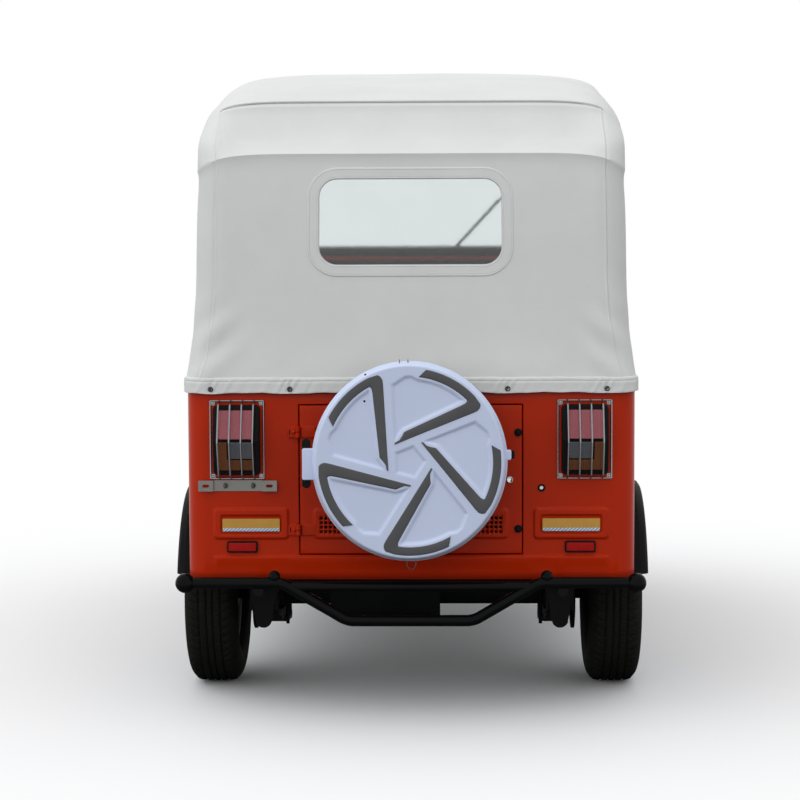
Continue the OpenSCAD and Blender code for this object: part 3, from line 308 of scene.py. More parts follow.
# Powder-coated tube: hard gloss black.
POWDER_BLACK = Finish("black_powder_coat", "08090A", "0C0D0E", "gloss_black", 0.16, coat=0.03, pattern=Pattern.PEEL,
                      pitch=2.5, relief=0.06, specular=0.08)
# Moulded polypropylene: black with a fine grain.
POLYPROPYLENE = Finish("black_polypropylene", "171718", "1F1F20", "black_plastic", 0.48, pitch=1.6, relief=0.14,
                       specular=0.06)
# Vulcanised rubber: deep matt black, greyed by dust.
RUBBER = Finish("vulcanised_rubber", "1B1B1A", "272620", "tyre", 0.78, pitch=2.2, relief=0.2, patch=60.0,
                specular=0.1)
# Silver lacquer on a pressed wheel: a metallic sheen without sharp reflections.
WHEEL_LACQUER = Finish("silver_wheel_lacquer", "A9ABAD", "9B9D9F", "wheel_steel", 0.36, metallic=0.7,
                       pattern=Pattern.PEEL, pitch=2.0, relief=0.05)
# Cast axle and motor in near-black, matt and rough: the motor's own black paint, with painted shade over the grey
# castings, which lie in the shadow under the body.
AXLE_PAINT_AND_SHADE = Finish("dark_cast_primer", "1D1E1F", "262728", "axle_grey", 0.6, pitch=1.5, relief=0.2, specular=0.06)
# Bright chromium plate on the headlamps, the handlebar and the locks: a hard, clear reflection.
CHROME = Finish("chromium_plate", "D4D5D7", "C4C6C9", "chrome", 0.12, metallic=1.0, pattern=Pattern.BRUSHED,
                pitch=1.0, relief=0.02)
# Drawn stainless wire: satin, greyer than plate.
STAINLESS = Finish("stainless_wire", "97989A", "87888A", "chrome", 0.26, metallic=1.0, pattern=Pattern.BRUSHED,
                   pitch=1.0, relief=0.03, patch=20.0)
# Blackened nickel on the snap caps: dark, with bright rims where it is rubbed.
BLACK_NICKEL = Finish("blackened_nickel", "57585A", "3A3B3C", "bare_steel", 0.24, metallic=0.9, pitch=0.8, relief=0.05,
                      patch=4.0)
# Zinc-plated pressed steel, dull and slightly streaked.
ZINC = Finish("zinc_plated_steel", "7E7D79", "6F6E6B", "bare_steel", 0.4, metallic=0.85, pattern=Pattern.BRUSHED,
              pitch=1.2, relief=0.06, patch=30.0)
# Injection-moulded ABS in a cool white.
WHITE_ABS = Finish("white_moulded_abs", "D4DEF8", "CDD8F3", "white_cover", 0.36, coat=0.1, pitch=1.4, relief=0.03,
                   patch=200.0, specular=0.25)
# Dark grey ABS inlay with a satin grain.
GREY_ABS = Finish("grey_moulded_abs", "5A5A5B", "4F4F50", "grey_inlay", 0.45, pitch=1.2, relief=0.1, patch=90.0,
                  specular=0.2)
# Dyed acrylic lens with moulded prisms: pale red under its own gloss.
RED_ACRYLIC = Finish("red_lens_acrylic", "A4525C", "964650", "red_lens", 0.18, coat=0.3, pattern=Pattern.FLUTED,
                     pitch=6.0, relief=0.3, patch=30.0, specular=0.3)
# Acrylic of the reflectors: a deep red that stays even from all sides.
REFLECTOR_ACRYLIC = Finish("red_reflector_acrylic", "B01410", "9A100E", "red_lens", 0.22, pattern=Pattern.FLUTED,
                           pitch=4.0, relief=0.3, patch=30.0, specular=0.12)
# Amber acrylic, brown while its lamp is off.
AMBER_ACRYLIC = Finish("amber_lens_acrylic", "6E3C16", "5A3012", "amber_lens", 0.2, coat=0.1, pattern=Pattern.FLUTED,
                       pitch=6.0, relief=0.3, patch=30.0, specular=0.2)
# Clear acrylic over a dark bowl, so that it looks grey.
CLEAR_ACRYLIC = Finish("clear_lens_acrylic", "5B5E63", "4E5156", "clear_lens", 0.18, coat=0.1,
                       pattern=Pattern.FLUTED, pitch=6.0, relief=0.3, patch=30.0, specular=0.2)
# Black upholstery vinyl with a leather grain.
SEAT_VINYL = Finish("upholstery_vinyl", "242426", "1C1C1E", "seat_vinyl", 0.46, pitch=2.4, relief=0.25, patch=90.0,
                    specular=0.25)
# Clear soft vinyl: see-through, with faint long waves.
CLEAR_VINYL = Finish("clear_soft_vinyl", "EDF1F1", "E6ECEC", "clear_vinyl", 0.05, transmission=1.0, pitch=60.0,
                     relief=0.02, coat=0.3)
# Laminated glass: see-through and flat.
GLASS = Finish("laminated_glass", "F2F6F6", "EEF3F3", "glass", 0.02, transmission=1.0, pitch=400.0, relief=0.005,
               ior=1.5)
# Anodised gold trim plate: warm, brushed and half bright.
GOLD = Finish("gold_anodised_plate", "B58A3E", "A37832", "gold_plate", 0.34, metallic=0.6, pattern=Pattern.BRUSHED,
              pitch=1.0, relief=0.04, patch=30.0)
# Printed strip along the trim plate: white with slanting light blue stripes, no lettering.
HATCH = HatchedFinish("printed_trim_strip", "E4E6E8", "D8DADD", "gold_plate", 0.4, pitch=1.0, relief=0.02, patch=30.0)
# Battery case moulding in near-black: its own dark plastic, darkened further as painted shade under the floor.
BATTERY_CASE_AND_SHADE = Finish("battery_case_moulding", "0E0F10", "131415", "battery_case", 0.6, pitch=1.6, relief=0.12,
                 specular=0.04)

CAD_FINISHES: dict[Finish, tuple[str, ...]] = {
    ENAMEL: ("rear_panel", "quarter_panels", "side_sills", "nose_shell", "hinge_leaves", "front_mudguard",
             "rear_door", "door_hinges"),
    CHASSIS_BLACK: ("chassis_frame", "floor_pan", "windscreen_frame", "canopy_frame", "driver_seat_base",
                    "driver_rail", "seat_box", "leaf_springs", "front_fork", "spare_carrier"),
    POWDER_BLACK: ("rear_bumper",),
    AMBER_ACRYLIC: ("turn_lenses",),
    POLYPROPYLENE: ("wheel_housings", "fender_flares", "grille", "dashboard", "wiper", "tail_lamps", "mirrors",
                    "door_fittings"),
    CANVAS: ("canopy",),
    CLEAR_VINYL: ("rear_window",),
    GLASS: ("windscreen_glass",),
    SEAT_VINYL: ("driver_cushion", "driver_backrest", "bench_cushion", "bench_backrest"),
    RUBBER: ("front_tyre", "rear_tyre_left", "rear_tyre_right", "spare_tyre"),
    WHEEL_LACQUER: ("front_rim", "rear_rim_left", "rear_rim_right"),
    AXLE_PAINT_AND_SHADE: ("rear_axle",),
    CHROME: ("headlamps", "handlebar"),
    STAINLESS: ("lamp_guards",),
    ZINC: ("plate_bracket",),
    WHITE_ABS: ("spare_cover",),
    GREY_ABS: ("cover_inlays",),
    RED_ACRYLIC: ("tail_lenses",),
    REFLECTOR_ACRYLIC: ("rear_reflectors",),
    CLEAR_ACRYLIC: ("front_lenses", "reverse_lenses"),
    GOLD: ("badge_plates",),
    BATTERY_CASE_AND_SHADE: ("battery_pack",),
}


def unit(vectors: Array) -> Array:
    """Scales vectors, along the last axis, to length one."""
    return vectors / np.maximum(np.linalg.norm(vectors, axis=-1, keepdims=True), 1e-12)


def smoothstep(low: float, high: float, x: Array) -> Array:
    """Rises from 0 at low to 1 at high with flat ends."""
    t = np.clip((x - low) / (high - low), 0.0, 1.0)
    return t * t * (3.0 - 2.0 * t)


def bell(x: Array, middle: float | Array, width: float) -> Array:
    """A bell curve of height 1, which falls to 0.37 at one width from its middle."""
    return np.exp(-(((x - middle) / width) ** 2))


def circle(count: int) -> Array:
    """Angles of points spread evenly around a circle."""
    return np.linspace(0.0, 2.0 * math.pi, count, endpoint=False)


def stacked(*columns: Array | float) -> Array:
    """Spreads columns to one shape and joins them as coordinates along a new last axis."""
    return np.stack(np.broadcast_arrays(*columns), axis=-1)


def grid_faces(rows: int, cols: int, wrap: bool = False) -> Array:
    """Quads of a grid whose vertices run along each row in turn.

    Args:
        rows: Number of rows.
        cols: Vertices in a row.
        wrap: Whether each row closes on itself.

    Returns:
        Vertex numbers, four to a face.
    """
    across = np.arange(cols if wrap else cols - 1)
    start = (np.arange(rows - 1) * cols)[:, None]
    a = start + across
    b = start + (across + 1) % cols
    return stacked(a, b, b + cols, a + cols).reshape(-1, 4)


def grid(points: Array, wrap: bool = False) -> Shape:
    """A grid of points together with its faces."""
    return points, grid_faces(*points.shape[:2], wrap)


def smooth_shading(mesh: bpy.types.Mesh, angle: float = SHARP_ANGLE) -> None:
    """Shades a mesh smooth, with sharp edges where faces meet at more than an angle in degrees."""
    mesh.shade_smooth()
    mesh.set_sharp_from_angle(angle=math.radians(angle))


def mesh_piece(name: str, points: Array, faces: Array, uv: Array | None = None) -> bpy.types.Object:
    """Puts arrays into a new object at the origin, with vertices that coincide made one.

    Args:
        name: The piece's name.
        points: Vertices, in metres in the vehicle's frame.
        faces: Vertex numbers, four to a face.
        uv: Flat coordinates in metres, one to a vertex.

    Returns:
        The new object.
    """
    mesh = bpy.data.meshes.new(name)
    mesh.from_pydata(points.reshape(-1, 3).tolist(), [], faces.tolist())
    if uv is not None:
        loops = np.empty(len(mesh.loops), dtype=np.int32)
        mesh.loops.foreach_get("vertex_index", loops)
        layer = mesh.uv_layers.new(name="flat")
        layer.data.foreach_set("uv", uv.reshape(-1, 2)[loops].astype(np.float32).ravel())
    shape = bmesh.new()
    shape.from_mesh(mesh)
    bmesh.ops.remove_doubles(shape, verts=shape.verts, dist=1e-6)
    bmesh.ops.dissolve_degenerate(shape, dist=1e-7, edges=shape.edges)
    bmesh.ops.recalc_face_normals(shape, faces=shape.faces)
    shape.to_mesh(mesh)
    shape.free()
    smooth_shading(mesh)
    made = bpy.data.objects.new(name, mesh)
    bpy.context.scene.collection.objects.link(made)
    return made


def dress(piece: bpy.types.Object, finish: Finish, body: Body, *nodes: str) -> bpy.types.Object:
    """Gives a new piece its finish, its body and the solids that it stands for.

    Args:
        piece: The new piece.
        finish: Its material.
        body: What it moves with.
        nodes: Solids that it replaces.

    Returns:
        The same piece.
    """
    piece.data.materials.clear()
    piece.data.materials.append(finish.make())
    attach(piece, body.value)
    if nodes:
        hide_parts(*nodes)
    LOG.info("%s: %d faces on %s", piece.name, len(piece.data.polygons), body.value)
    return piece


def thicken(piece: bpy.types.Object, wall: float) -> None:
    """Gives a sheet its thickness, inwards from the face that is modelled.

    Args:
        piece: The sheet.
        wall: Its thickness in metres.
    """
    solid = piece.modifiers.new("thickness", "SOLIDIFY")
    solid.thickness = wall
    solid.offset = -1.0


def coordinates(mesh: bpy.types.Mesh) -> Array:
    """Reads a mesh's vertices, one to a row.

    Args:
        mesh: The mesh.

    Returns:
        Places in metres.
    """
    flat = np.empty(len(mesh.vertices) * 3)
    mesh.vertices.foreach_get("co", flat)
    return flat.reshape(-1, 3)


def evenly(line: Array, count: int) -> Array:
    """Places points at even distances along a flat line.

    Args:
        line: The line's corners.
        count: Number of points.

    Returns:
        The points.
    """
    run = np.concatenate([[0.0], np.cumsum(np.linalg.norm(np.diff(line, axis=0), axis=1))])
    at = np.linspace(0.0, run[-1], count)
    return stacked(*(np.interp(at, run, line[:, i]) for i in (0, 1)))


def bent_path(corners: Sequence[Sequence[float]], bend: float, steps: int = 8) -> Array:
    """A line through corners, with each inner corner rounded by an arc.

    Args:
        corners: Points of the line.
        bend: Radius of each arc.
        steps: Points along an arc.

    Returns:
        Points along the line.
    """
    points = np.asarray(corners, dtype=float)
    ahead = unit(np.diff(points, axis=0))
    parts = [points[:1]]
    for corner, before, after in zip(points[1:-1], ahead[:-1], ahead[1:]):
        turn = math.acos(float(np.clip(before @ after, -1.0, 1.0)))
        inward = unit(after - before * (before @ after))
        angle = np.linspace(0.0, turn, steps)[:, None]
        start = corner - before * bend * math.tan(turn / 2)
        parts.append(start + before * bend * np.sin(angle) + inward * bend * (1.0 - np.cos(angle)))
    parts.append(points[-1:])
    return np.concatenate(parts)


def tube(path: Array, radius: float, across: Sequence[float], sides: int = 20) -> Shape:
    """Carries a circle along a line and closes both ends.

    Each ring lies in the plane across the line's direction: centre + r (n cos a + b sin a).

    Args:
        path: Points along the line.
        radius: Radius of the circle.
        across: A direction that is never along the line.
        sides: Points around the circle.

    Returns:
        Vertices and faces.
    """
    along = unit(np.gradient(path, axis=0))
    first = unit(np.cross(along, np.asarray(across, dtype=float)))
    second = np.cross(along, first)
    angle = circle(sides)
    ring = first[:, None] * np.cos(angle)[:, None] + second[:, None] * np.sin(angle)[:, None]
    rings = path[:, None] + radius * ring
    ends = [np.broadcast_to(path[i], rings[i].shape) for i in (0, -1)]
    return grid(np.concatenate([ends[0][None], rings, ends[1][None]]), wrap=True)


def lathe(profile: Array, centre: Sequence[float], axis: int, sides: int) -> Shape:
    """Turns a profile around an axis of the frame.

    Args:
        profile: Points as (radius, distance along the axis).
        centre: Where the distance is nought, on the axis.
        axis: 0, 1 or 2 for X, Y or Z.
        sides: Points around.

    Returns:
        Vertices and faces.
    """
    angle = circle(sides)
    points = np.empty((len(profile), sides, 3))
    points[..., axis] = profile[:, 1][:, None]
    points[..., (axis + 1) % 3] = profile[:, 0][:, None] * np.cos(angle)
    points[..., (axis + 2) % 3] = profile[:, 0][:, None] * np.sin(angle)
    return grid(points + np.asarray(centre, dtype=float), wrap=True)


def joined(parts: Sequence[Shape]) -> Shape:
    """Joins several sets of vertices and faces into one set.

    Args:
        parts: The sets, with faces numbered within each.

    Returns:
        Vertices and faces.
    """
    points = [p.reshape(-1, 3) for p, _ in parts]
    starts = np.cumsum([0] + [len(p) for p in points[:-1]])
    return np.concatenate(points), np.concatenate([f + s for (_, f), s in zip(parts, starts)])


def weld(name: str, parts: Sequence[Shape], finish: Finish, body: Body, *nodes: str) -> bpy.types.Object:
    """Builds and dresses one piece out of several shapes."""
    return dress(mesh_piece(name, *joined(parts)), finish, body, *nodes)


def monotone(knots: Array, table: Array, at: Array) -> Array:
    """Interpolates the rows of a table by cubics whose slope is the harmonic mean of the neighbours'.

    Args:
        knots: Rising position of each row.
        table: One row of columns for each knot.
        at: Positions to read.

    Returns:
        One row of columns for each position.
    """
    slope = np.diff(table, axis=0) / np.diff(knots)[:, None]
    both = slope[:-1] * slope[1:]
    harmonic = np.where(both > 0, 2.0 * both / np.where(both > 0, slope[:-1] + slope[1:], 1.0), 0.0)
    tangent = np.vstack([slope[:1], harmonic, slope[-1:]])
    k = np.clip(np.searchsorted(knots, at, side="right") - 1, 0, len(knots) - 2)
    width = (knots[k + 1] - knots[k])[:, None]
    t = (at - knots[k])[:, None] / width
    return (
        (2 * t**3 - 3 * t**2 + 1) * table[k] + (t**3 - 2 * t**2 + t) * width * tangent[k]
        + (3 * t**2 - 2 * t**3) * table[k + 1] + (t**3 - t**2) * width * tangent[k + 1]
    )


def rounded_loop(width: float, height: float, radius: float, steps: int) -> Array:
    """Points around a rectangle with round corners, centred on the origin.

    Args:
        width: Width of the rectangle.
        height: Its height.
        radius: Radius of its corners.
        steps: Points along a corner.

    Returns:
        The points, anticlockwise.
    """
    angle = np.linspace(0.0, math.pi / 2, steps)
    quarter = stacked(np.cos(angle), np.sin(angle)) * radius
    signs = np.array([[1, 1], [-1, 1], [-1, -1], [1, -1]])
    parts = []
    for i, sign in enumerate(signs):
        arc = quarter if i % 2 == 0 else quarter[::-1]
        parts.append((arc + [width / 2 - radius, height / 2 - radius]) * sign)
    return np.concatenate(parts)


def rear_plate(
    foot: Sequence[float], size: Sequence[float], corner: float, thick: float, rounding: float
) -> Shape:
    """A plate that faces the rear, with round corners and a rolled edge.

    Args:
        foot: Middle of its back.
        size: Width and height.
        corner: Radius of its corners.
        thick: How far it stands out.
        rounding: Radius of its edge.

    Returns:
        Vertices and faces.
    """
    angle = np.linspace(0.0, math.pi / 2, 6)
    inset = np.concatenate([[0.0], rounding * (1.0 - np.cos(angle))])
    rise = np.concatenate([[0.0], thick - rounding + rounding * np.sin(angle)])
    loops = np.stack([
        rounded_loop(size[0] - 2 * i, size[1] - 2 * i, max(corner - i, 0.3 * MM), 8) for i in inset
    ])
    flat = np.concatenate([np.zeros_like(loops[:1]), loops, np.zeros_like(loops[:1])])
    y = foot[1] - np.concatenate([[0.0], rise, [thick]])
    return grid(stacked(flat[..., 0] + foot[0], y[:, None], flat[..., 1] + foot[2]), wrap=True)


def inside_round(x: Array, z: Array, box: Rect, radius: float) -> Array:
    """Distance inside a rectangle with round corners; it is negative outside.

    Args:
        x: Places across.
        z: Places upwards.
        box: The rectangle's middle across, middle height, width and height.
        radius: Radius of its corners.

    Returns:
        Distances in metres.
    """
    over_x = np.abs(x - box[0]) - (box[2] / 2 - radius)
    over_z = np.abs(z - box[1]) - (box[3] / 2 - radius)
    outside = np.hypot(np.maximum(over_x, 0.0), np.maximum(over_z, 0.0))
    return radius - outside - np.minimum(np.maximum(over_x, over_z), 0.0)


def fine_lines(low: float, high: float, step: float, edges: Sequence[float]) -> Array:
    """Places of a grid's lines: even steps, with close lines on both sides of each edge that matters.

    Args:
        low: First line.
        high: Last line.
        step: Distance of the even lines.
        edges: Places of the edges.

    Returns:
        Rising places.
    """
    near = np.array([-9.0, -6.5, -4.0, -2.0, 0.0, 2.0, 4.0, 6.5, 9.0]) * MM
    every = np.concatenate([np.linspace(low, high, round((high - low) / step) + 1),
                            (np.asarray(edges)[:, None] + near).ravel(), edges])
    kept = np.unique(np.round(every[(every >= low) & (every <= high)], 5))
    return kept[np.concatenate([[True], np.diff(kept) > 0.4 * MM])]


def softened(node: str, width: float, finish: Finish, body: Body) -> bpy.types.Object:
    """Copies a solid with its sharp edges rounded, so that they catch the light as folded sheet does.

    Args:
        node: The solid's name.
        width: Width of the rounding, in metres.
        finish: The copy's material.
        body: What it moves with.

    Returns:
        The copy, which stands for the solid.
    """
    shape = bmesh.new()
    shape.from_mesh(bpy.data.objects[node].data)
    bmesh.ops.remove_doubles(shape, verts=shape.verts, dist=1e-5)
    bmesh.ops.dissolve_limit(shape, angle_limit=math.radians(FLAT_ANGLE), verts=shape.verts, edges=shape.edges)
    mesh = bpy.data.meshes.new(f"{node}_finished")
    shape.to_mesh(mesh)
    shape.free()
    smooth_shading(mesh, 30.0)
    copy = bpy.data.objects.new(mesh.name, mesh)
    bpy.context.scene.collection.objects.link(copy)
    bevel = copy.modifiers.new("rounding", "BEVEL")
    bevel.width = width
    bevel.segments = 2
    bevel.limit_method = "ANGLE"
    bevel.angle_limit = math.radians(ROUNDED_ANGLE)
    bevel.harden_normals = True
    return dress(copy, finish, body, node)


@dataclass
class Canopy:
    """The canvas canopy: one curved sheet with its hem, seams, window border and snaps.

    Each level of the sheet is an outline from the front along a side, round a rear corner to the middle.
    Columns of a level: inset of the half width, distance ahead of the rear sheet, height amid the rear,
    height along the sides, corner radius; all in millimetres.
    """

    levels: tuple[tuple[float, ...], ...] = (
        (-6.7, -6.7, 860, 860, 66.7), (-6.7, -6.7, 886, 886, 66.7), (9, 18, 1000, 1000, 80),
        (17, 50, 1180, 1180, 90), (17, 100, 1498, 1453, 90), (15, 150, 1540, 1530, 90),
        (17, 280, 1648, 1590, 90), (24, 360, 1674, 1630, 105), (35, 450, 1702, 1673, 130),
        (61, 650, 1741, 1735, 170), (100, 850, 1772, 1770, 200), (300, 1050, 1785, 1785, 120),
        (600, 1170, 1785, 1785, 0),
    )
    crease_level: int = 4
    edge_level: int = 6
    fall_power: float = 10.0
    front_drop: float = 20 * MM
    thickness: float = 3 * MM
    valance_z: float = 1393 * MM
    seam_turn: float = 71.0
    lip: float = 4 * MM
    groove: float = 10 * MM
    sag: float = 20 * MM
    crown: float = 9 * MM
    hem_lean: float = 5 * MM
    tuck: float = 4 * MM
    tuck_length: float = 35 * MM
    hem_section: tuple[tuple[float, float], ...] = (
        (903, -0.5), (902, 1.8), (899.5, 3.4), (896, 3.4), (893, 3.0), (891.8, 2.0), (890.6, 2.9), (885, 2.6),
        (879, 2.4), (873, 2.4), (868, 2.6), (864.5, 2.8), (862, 2.3), (861, -0.5),
    )
    window: tuple[float, float, float, float] = (488 * MM, 228 * MM, 48 * MM, 1315 * MM)
    screen: tuple[tuple[float, float], ...] = (
        (0, 0.315), (0, 0.545), (10, 0.663), (42, 0.79), (100, 0.89), (220, 0.964), (400, 0.996), (540, 1.0),
    )
    screen_foot: float = 1224 * MM
    snap_x: tuple[float, ...] = (-531 * MM, -320 * MM, 258 * MM, 521 * MM)
    snap_z: float = 872 * MM
    snap_r: float = 7.5 * MM
    snap_folds: tuple[tuple[float, ...], ...] = ((1.3, 35, 2.9, 0.0), (0.7, 110, 5.4, 1.0))
    snap_pull: tuple[float, float] = (2.4 * MM, 12 * MM)
    roll: tuple[float, float, float] = (3 * MM, 0.09, 0.035)
    seam_out: tuple[float, float] = (1.6 * MM, 3 * MM)
    seam_in: tuple[float, float] = (2.4 * MM, 1.8 * MM)
    seam_w: float = 5 * MM
    screen_place: tuple[float, float] = (900 * MM, 1217 * MM)
    screen_lean: float = 14.0
    screen_depth: float = 30 * MM
    ridge_back: float = 1050 * MM
    front_y: float = 960 * MM
    rear_y: float = field(init=False)
    half_w: float = field(init=False)
    opening_y: float = field(init=False)
    ridge_y: float = field(init=False)

    def __post_init__(self) -> None:
        """Reads the walls that the canopy is hung on."""
        low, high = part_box("quarter_panels")
        self.rear_y, self.half_w, self.opening_y = low.y, high.x, high.y
        self.ridge_y = self.rear_y + self.ridge_back

    def front_at(self, z: Array) -> Array:
        """Distance forward of the canopy's front edge, which lies along the windscreen's front face.

        Args:
            z: Heights.

        Returns:
            Places along Y.
        """
        lean = math.radians(self.screen_lean)
        foot_y, foot_z = self.screen_place
        return foot_y + self.screen_depth / math.cos(lean) - (z - foot_z) * math.tan(lean)

    def level_rows(self, v: Array) -> Array:
        """Reads the levels between the table's rows, with creases where the sheet is folded.

        Args:
            v: Positions counted in levels.

        Returns:
            Half width, rear, height amid the rear, height along the sides and corner radius, in metres.
        """
        table = np.array(self.levels) * MM
        table[:, 0] = self.half_w - table[:, 0]
        table[:, 1] += self.rear_y
        knots = np.arange(len(table), dtype=float)
        rows = np.empty((len(v), table.shape[1]))
        bounds = [0, self.crease_level, self.edge_level, len(table) - 1]
        for start, end in zip(bounds[:-1], bounds[1:]):
            inside = (v >= start) & (v <= end)
            rows[inside] = monotone(knots[start:end + 1], table[start:end + 1], v[inside])
        return rows

    def outline(self, rows: Array, v: Array, counts: tuple[int, int, int]) -> Array:
        """Lays every level's outline out as one grid of points.

        The height at a point is the middle's plus (side - middle) times the share of the half width to a
        high power, so that it falls only near the sides; the roof also falls towards the front.

        Args:
            rows: Result of level_rows.
            v: Positions counted in levels.
            counts: Points along the open side, the shut side and half the rear.

        Returns:
            Points by level and by place along the outline, from right front to left front.
        """
        half, rear, mid, side, corner = (rows[:, i:i + 1] for i in range(5))
        front = self.front_at(side)
        open_side = np.linspace(0.0, 1.0, counts[0])[None, :]
        shut_side = np.linspace(0.0, 1.0, counts[1])[None, 1:]
        beside_seam = self.seam_turn + np.array([-5.0, -3.2, -2.0, -1.0, 0.0, 1.0, 2.0, 3.2, 5.0])
        turn = np.radians(np.unique(np.concatenate([np.linspace(0.0, 90.0, 14), beside_seam])))[None, 1:]
        back = np.linspace(0.0, 1.0, counts[2])[None, 1:]
        gate = np.maximum(self.opening_y, rear + corner + 0.02)
        y = np.concatenate([
            front + (gate - front) * open_side,
            gate + (rear + corner - gate) * shut_side,
            rear + corner - corner * np.sin(turn),
            np.broadcast_to(rear, (len(v), back.shape[1])),
        ], axis=1)
        x = np.concatenate([
            np.broadcast_to(half, (len(v), open_side.shape[1] + shut_side.shape[1])),
            half - corner + corner * np.cos(turn),
            (half - corner) * (1.0 - back),
        ], axis=1)
        share = (np.abs(x) / np.maximum(half, 1e-6)) ** self.fall_power
        ahead = np.clip((y - self.ridge_y) / (self.front_y - self.ridge_y), 0.0, None)
        high = np.clip(v - self.edge_level + 1, 0.0, 1.0)[:, None]
        z = mid + (side - mid) * share - high * self.front_drop * ahead**2
        right = stacked(x, y, z)
        left = (right * [-1.0, 1.0, 1.0])[:, -2::-1]
        return np.concatenate([right, left], axis=1)

    def tuck_at(self, z: Array) -> Array:
        """How far the sheet is drawn in under the crease: t e^(1 - t), with t the depth over the tuck's length."""
        below = np.clip((self.levels[self.crease_level][2] * MM - z) / self.tuck_length, 0.0, None)
        return self.tuck * below * np.exp(1.0 - below)

    def relief(self, points: Array, v: Array, rows: Array) -> Array:
        """How far each point stands out of the plain sheet.

        It adds the roof's lip with the dark gap under it, the rolled top and the hollow of the band, the tuck
        under the crease, raised seams at the rear corners and long soft folds, mostly bell curves across a line.

        Args:
            points: The plain sheet.
            v: Positions counted in levels.
            rows: Result of level_rows.

        Returns:
            Heights in metres.
        """
        x, y, z = points[..., 0], points[..., 1], points[..., 2]
        level, crease, edge = v[:, None], self.crease_level, self.edge_level
        rearward = smoothstep(self.rear_y + 0.45, self.rear_y + 0.3, y)
        seam_x = rows[:, :1] - rows[:, 4:] * (1.0 - math.cos(math.radians(self.seam_turn)))
        inside = smoothstep(0.012, -0.012, np.abs(x) - seam_x)
        lip = self.lip * smoothstep(edge - 0.004, edge, level) * smoothstep(edge + 1.4, edge, level)
        gap = self.groove * ((level > edge - 0.021) & (level < edge - 0.003))
        roll = self.roll[0] * bell(level, edge - self.roll[1], self.roll[2])
        way = np.interp(level, [crease, crease + 1, edge], [0.0, 0.28, 1.0])
        amid = smoothstep(0.03, -0.09, np.abs(x) - seam_x)
        band = (lip - gap + roll) * inside - self.sag * np.sin(math.pi * way) * amid
        seam = self.seam_out[0] * bell(np.abs(x), seam_x, self.seam_out[1])
        seam = seam - self.seam_in[0] * bell(np.abs(x), seam_x + self.seam_w, self.seam_in[1])
        height = rearward * (band + seam * (level < edge) - self.tuck_at(rows[:, 2:3]) * (level < crease))
        near_hem = bell(z, 0.915, 0.04)
        around = np.where(np.abs(x) > self.half_w - 0.08, y, x)
        height = height + 1.6 * MM * near_hem * np.sin(around * 41.0) * np.sin(around * 17.0 + 0.6)
        slack = bell(np.abs(x), 0.52, 0.06) * bell(z, 1.0, 0.1)
        height = height + 3.0 * MM * slack * np.sin((np.abs(x) * 0.8 + z) * 62.0)
        roof = smoothstep(edge + 0.5, edge + 2.0, level)
        ripple = 1.5 * MM * np.sin(y * 19.0 + 2.0 * np.sin(x * 5.0)) * np.sin(x * 7.0 + 1.0)
        return height + roof * (ripple - self.crown * (x / self.half_w) ** 2)

    @staticmethod
    def lifted(plain: Array, height: Array) -> Array:
        """Moves points out of the sheet, along its outward normal, by a height each.

        Args:
            plain: Grid of points.
            height: Height of each.

        Returns:
            The moved points.
        """
        normal = unit(np.cross(np.gradient(plain, axis=1), np.gradient(plain, axis=0)))
        outward = np.sign((normal * (plain - [0.0, 0.0, 1.2])).sum(-1, keepdims=True))
        return plain + normal * outward * height[..., None]

    def rows_at(self, z: Array) -> Array:
        """Positions, counted in levels, of heights amid the rear below the crease."""
        v = np.linspace(0.0, self.crease_level, 400)
        return np.interp(z, self.level_rows(v)[:, 2], v)

    def sheet_points(self) -> Array:
        """Works out the sheet with its relief, in close rows at the hem, the crease and the roof's lip.

        Returns:
            Points by level and by place along the outline.
        """
        below, above = (self.levels[self.crease_level + i][3] * MM for i in (-1, 0))
        gate = self.crease_level - 1 + (self.valance_z - below) / (above - below)
        edge = self.edge_level
        heights = np.concatenate([
            np.linspace(0.866, 0.9, 6), np.linspace(0.904, 0.95, 9), np.linspace(0.957, 1.1, 18),
        ])
        low = self.rows_at(heights)
        lip = edge + np.array([
            -0.11, -0.09, -0.07, -0.05, -0.035, -0.023, -0.02, -0.012, -0.004, -0.002, 0.0, 0.04,
        ])
        v = np.unique(np.concatenate([
            low, np.linspace(low[-1], gate, 22), np.linspace(gate, self.crease_level, 12),
            np.linspace(self.crease_level, edge - 0.13, 16), lip, np.linspace(edge + 0.1, len(self.levels) - 1, 46),
        ]))
        rows = self.level_rows(v)
        plain = self.outline(rows, v, (34, 24, 92))
        return self.lifted(plain, self.relief(plain, v, rows))

    @staticmethod
    def flat_uv(points: Array) -> Array:
        """Lengths along the rows and the columns of a grid, in metres, as flat coordinates of its cloth.

        Args:
            points: The grid.

        Returns:
            Two coordinates for each point.
        """
        step_u = np.linalg.norm(np.diff(points, axis=1, prepend=points[:, :1]), axis=-1)
        step_v = np.linalg.norm(np.diff(points, axis=0, prepend=points[:1]), axis=-1)
        return stacked(np.cumsum(step_u, axis=1), np.cumsum(step_v, axis=0))

    def build(self) -> bpy.types.Object:
        """Builds the sheet, open at the sides and at the window, and dresses it.

        Returns:
            The sheet.
        """
        points = self.sheet_points()
        faces = grid_faces(*points.shape[:2])
        centre = points.reshape(-1, 3)[faces].mean(axis=1)
        aside = (centre[:, 1] > self.opening_y) & (centre[:, 2] < self.valance_z)
        width, height, _, middle = self.window
        glazed = (
            (np.abs(centre[:, 0]) < width / 2 + 6 * MM) & (np.abs(centre[:, 2] - middle) < height / 2 + 6 * MM)
            & (centre[:, 1] < self.rear_y + 0.3)
        )
        sheet = mesh_piece("canopy_canvas", points, faces[~(aside | glazed)], self.flat_uv(points))
        thicken(sheet, self.thickness)
        return dress(sheet, CANVAS, Body.SHELL, "canopy")

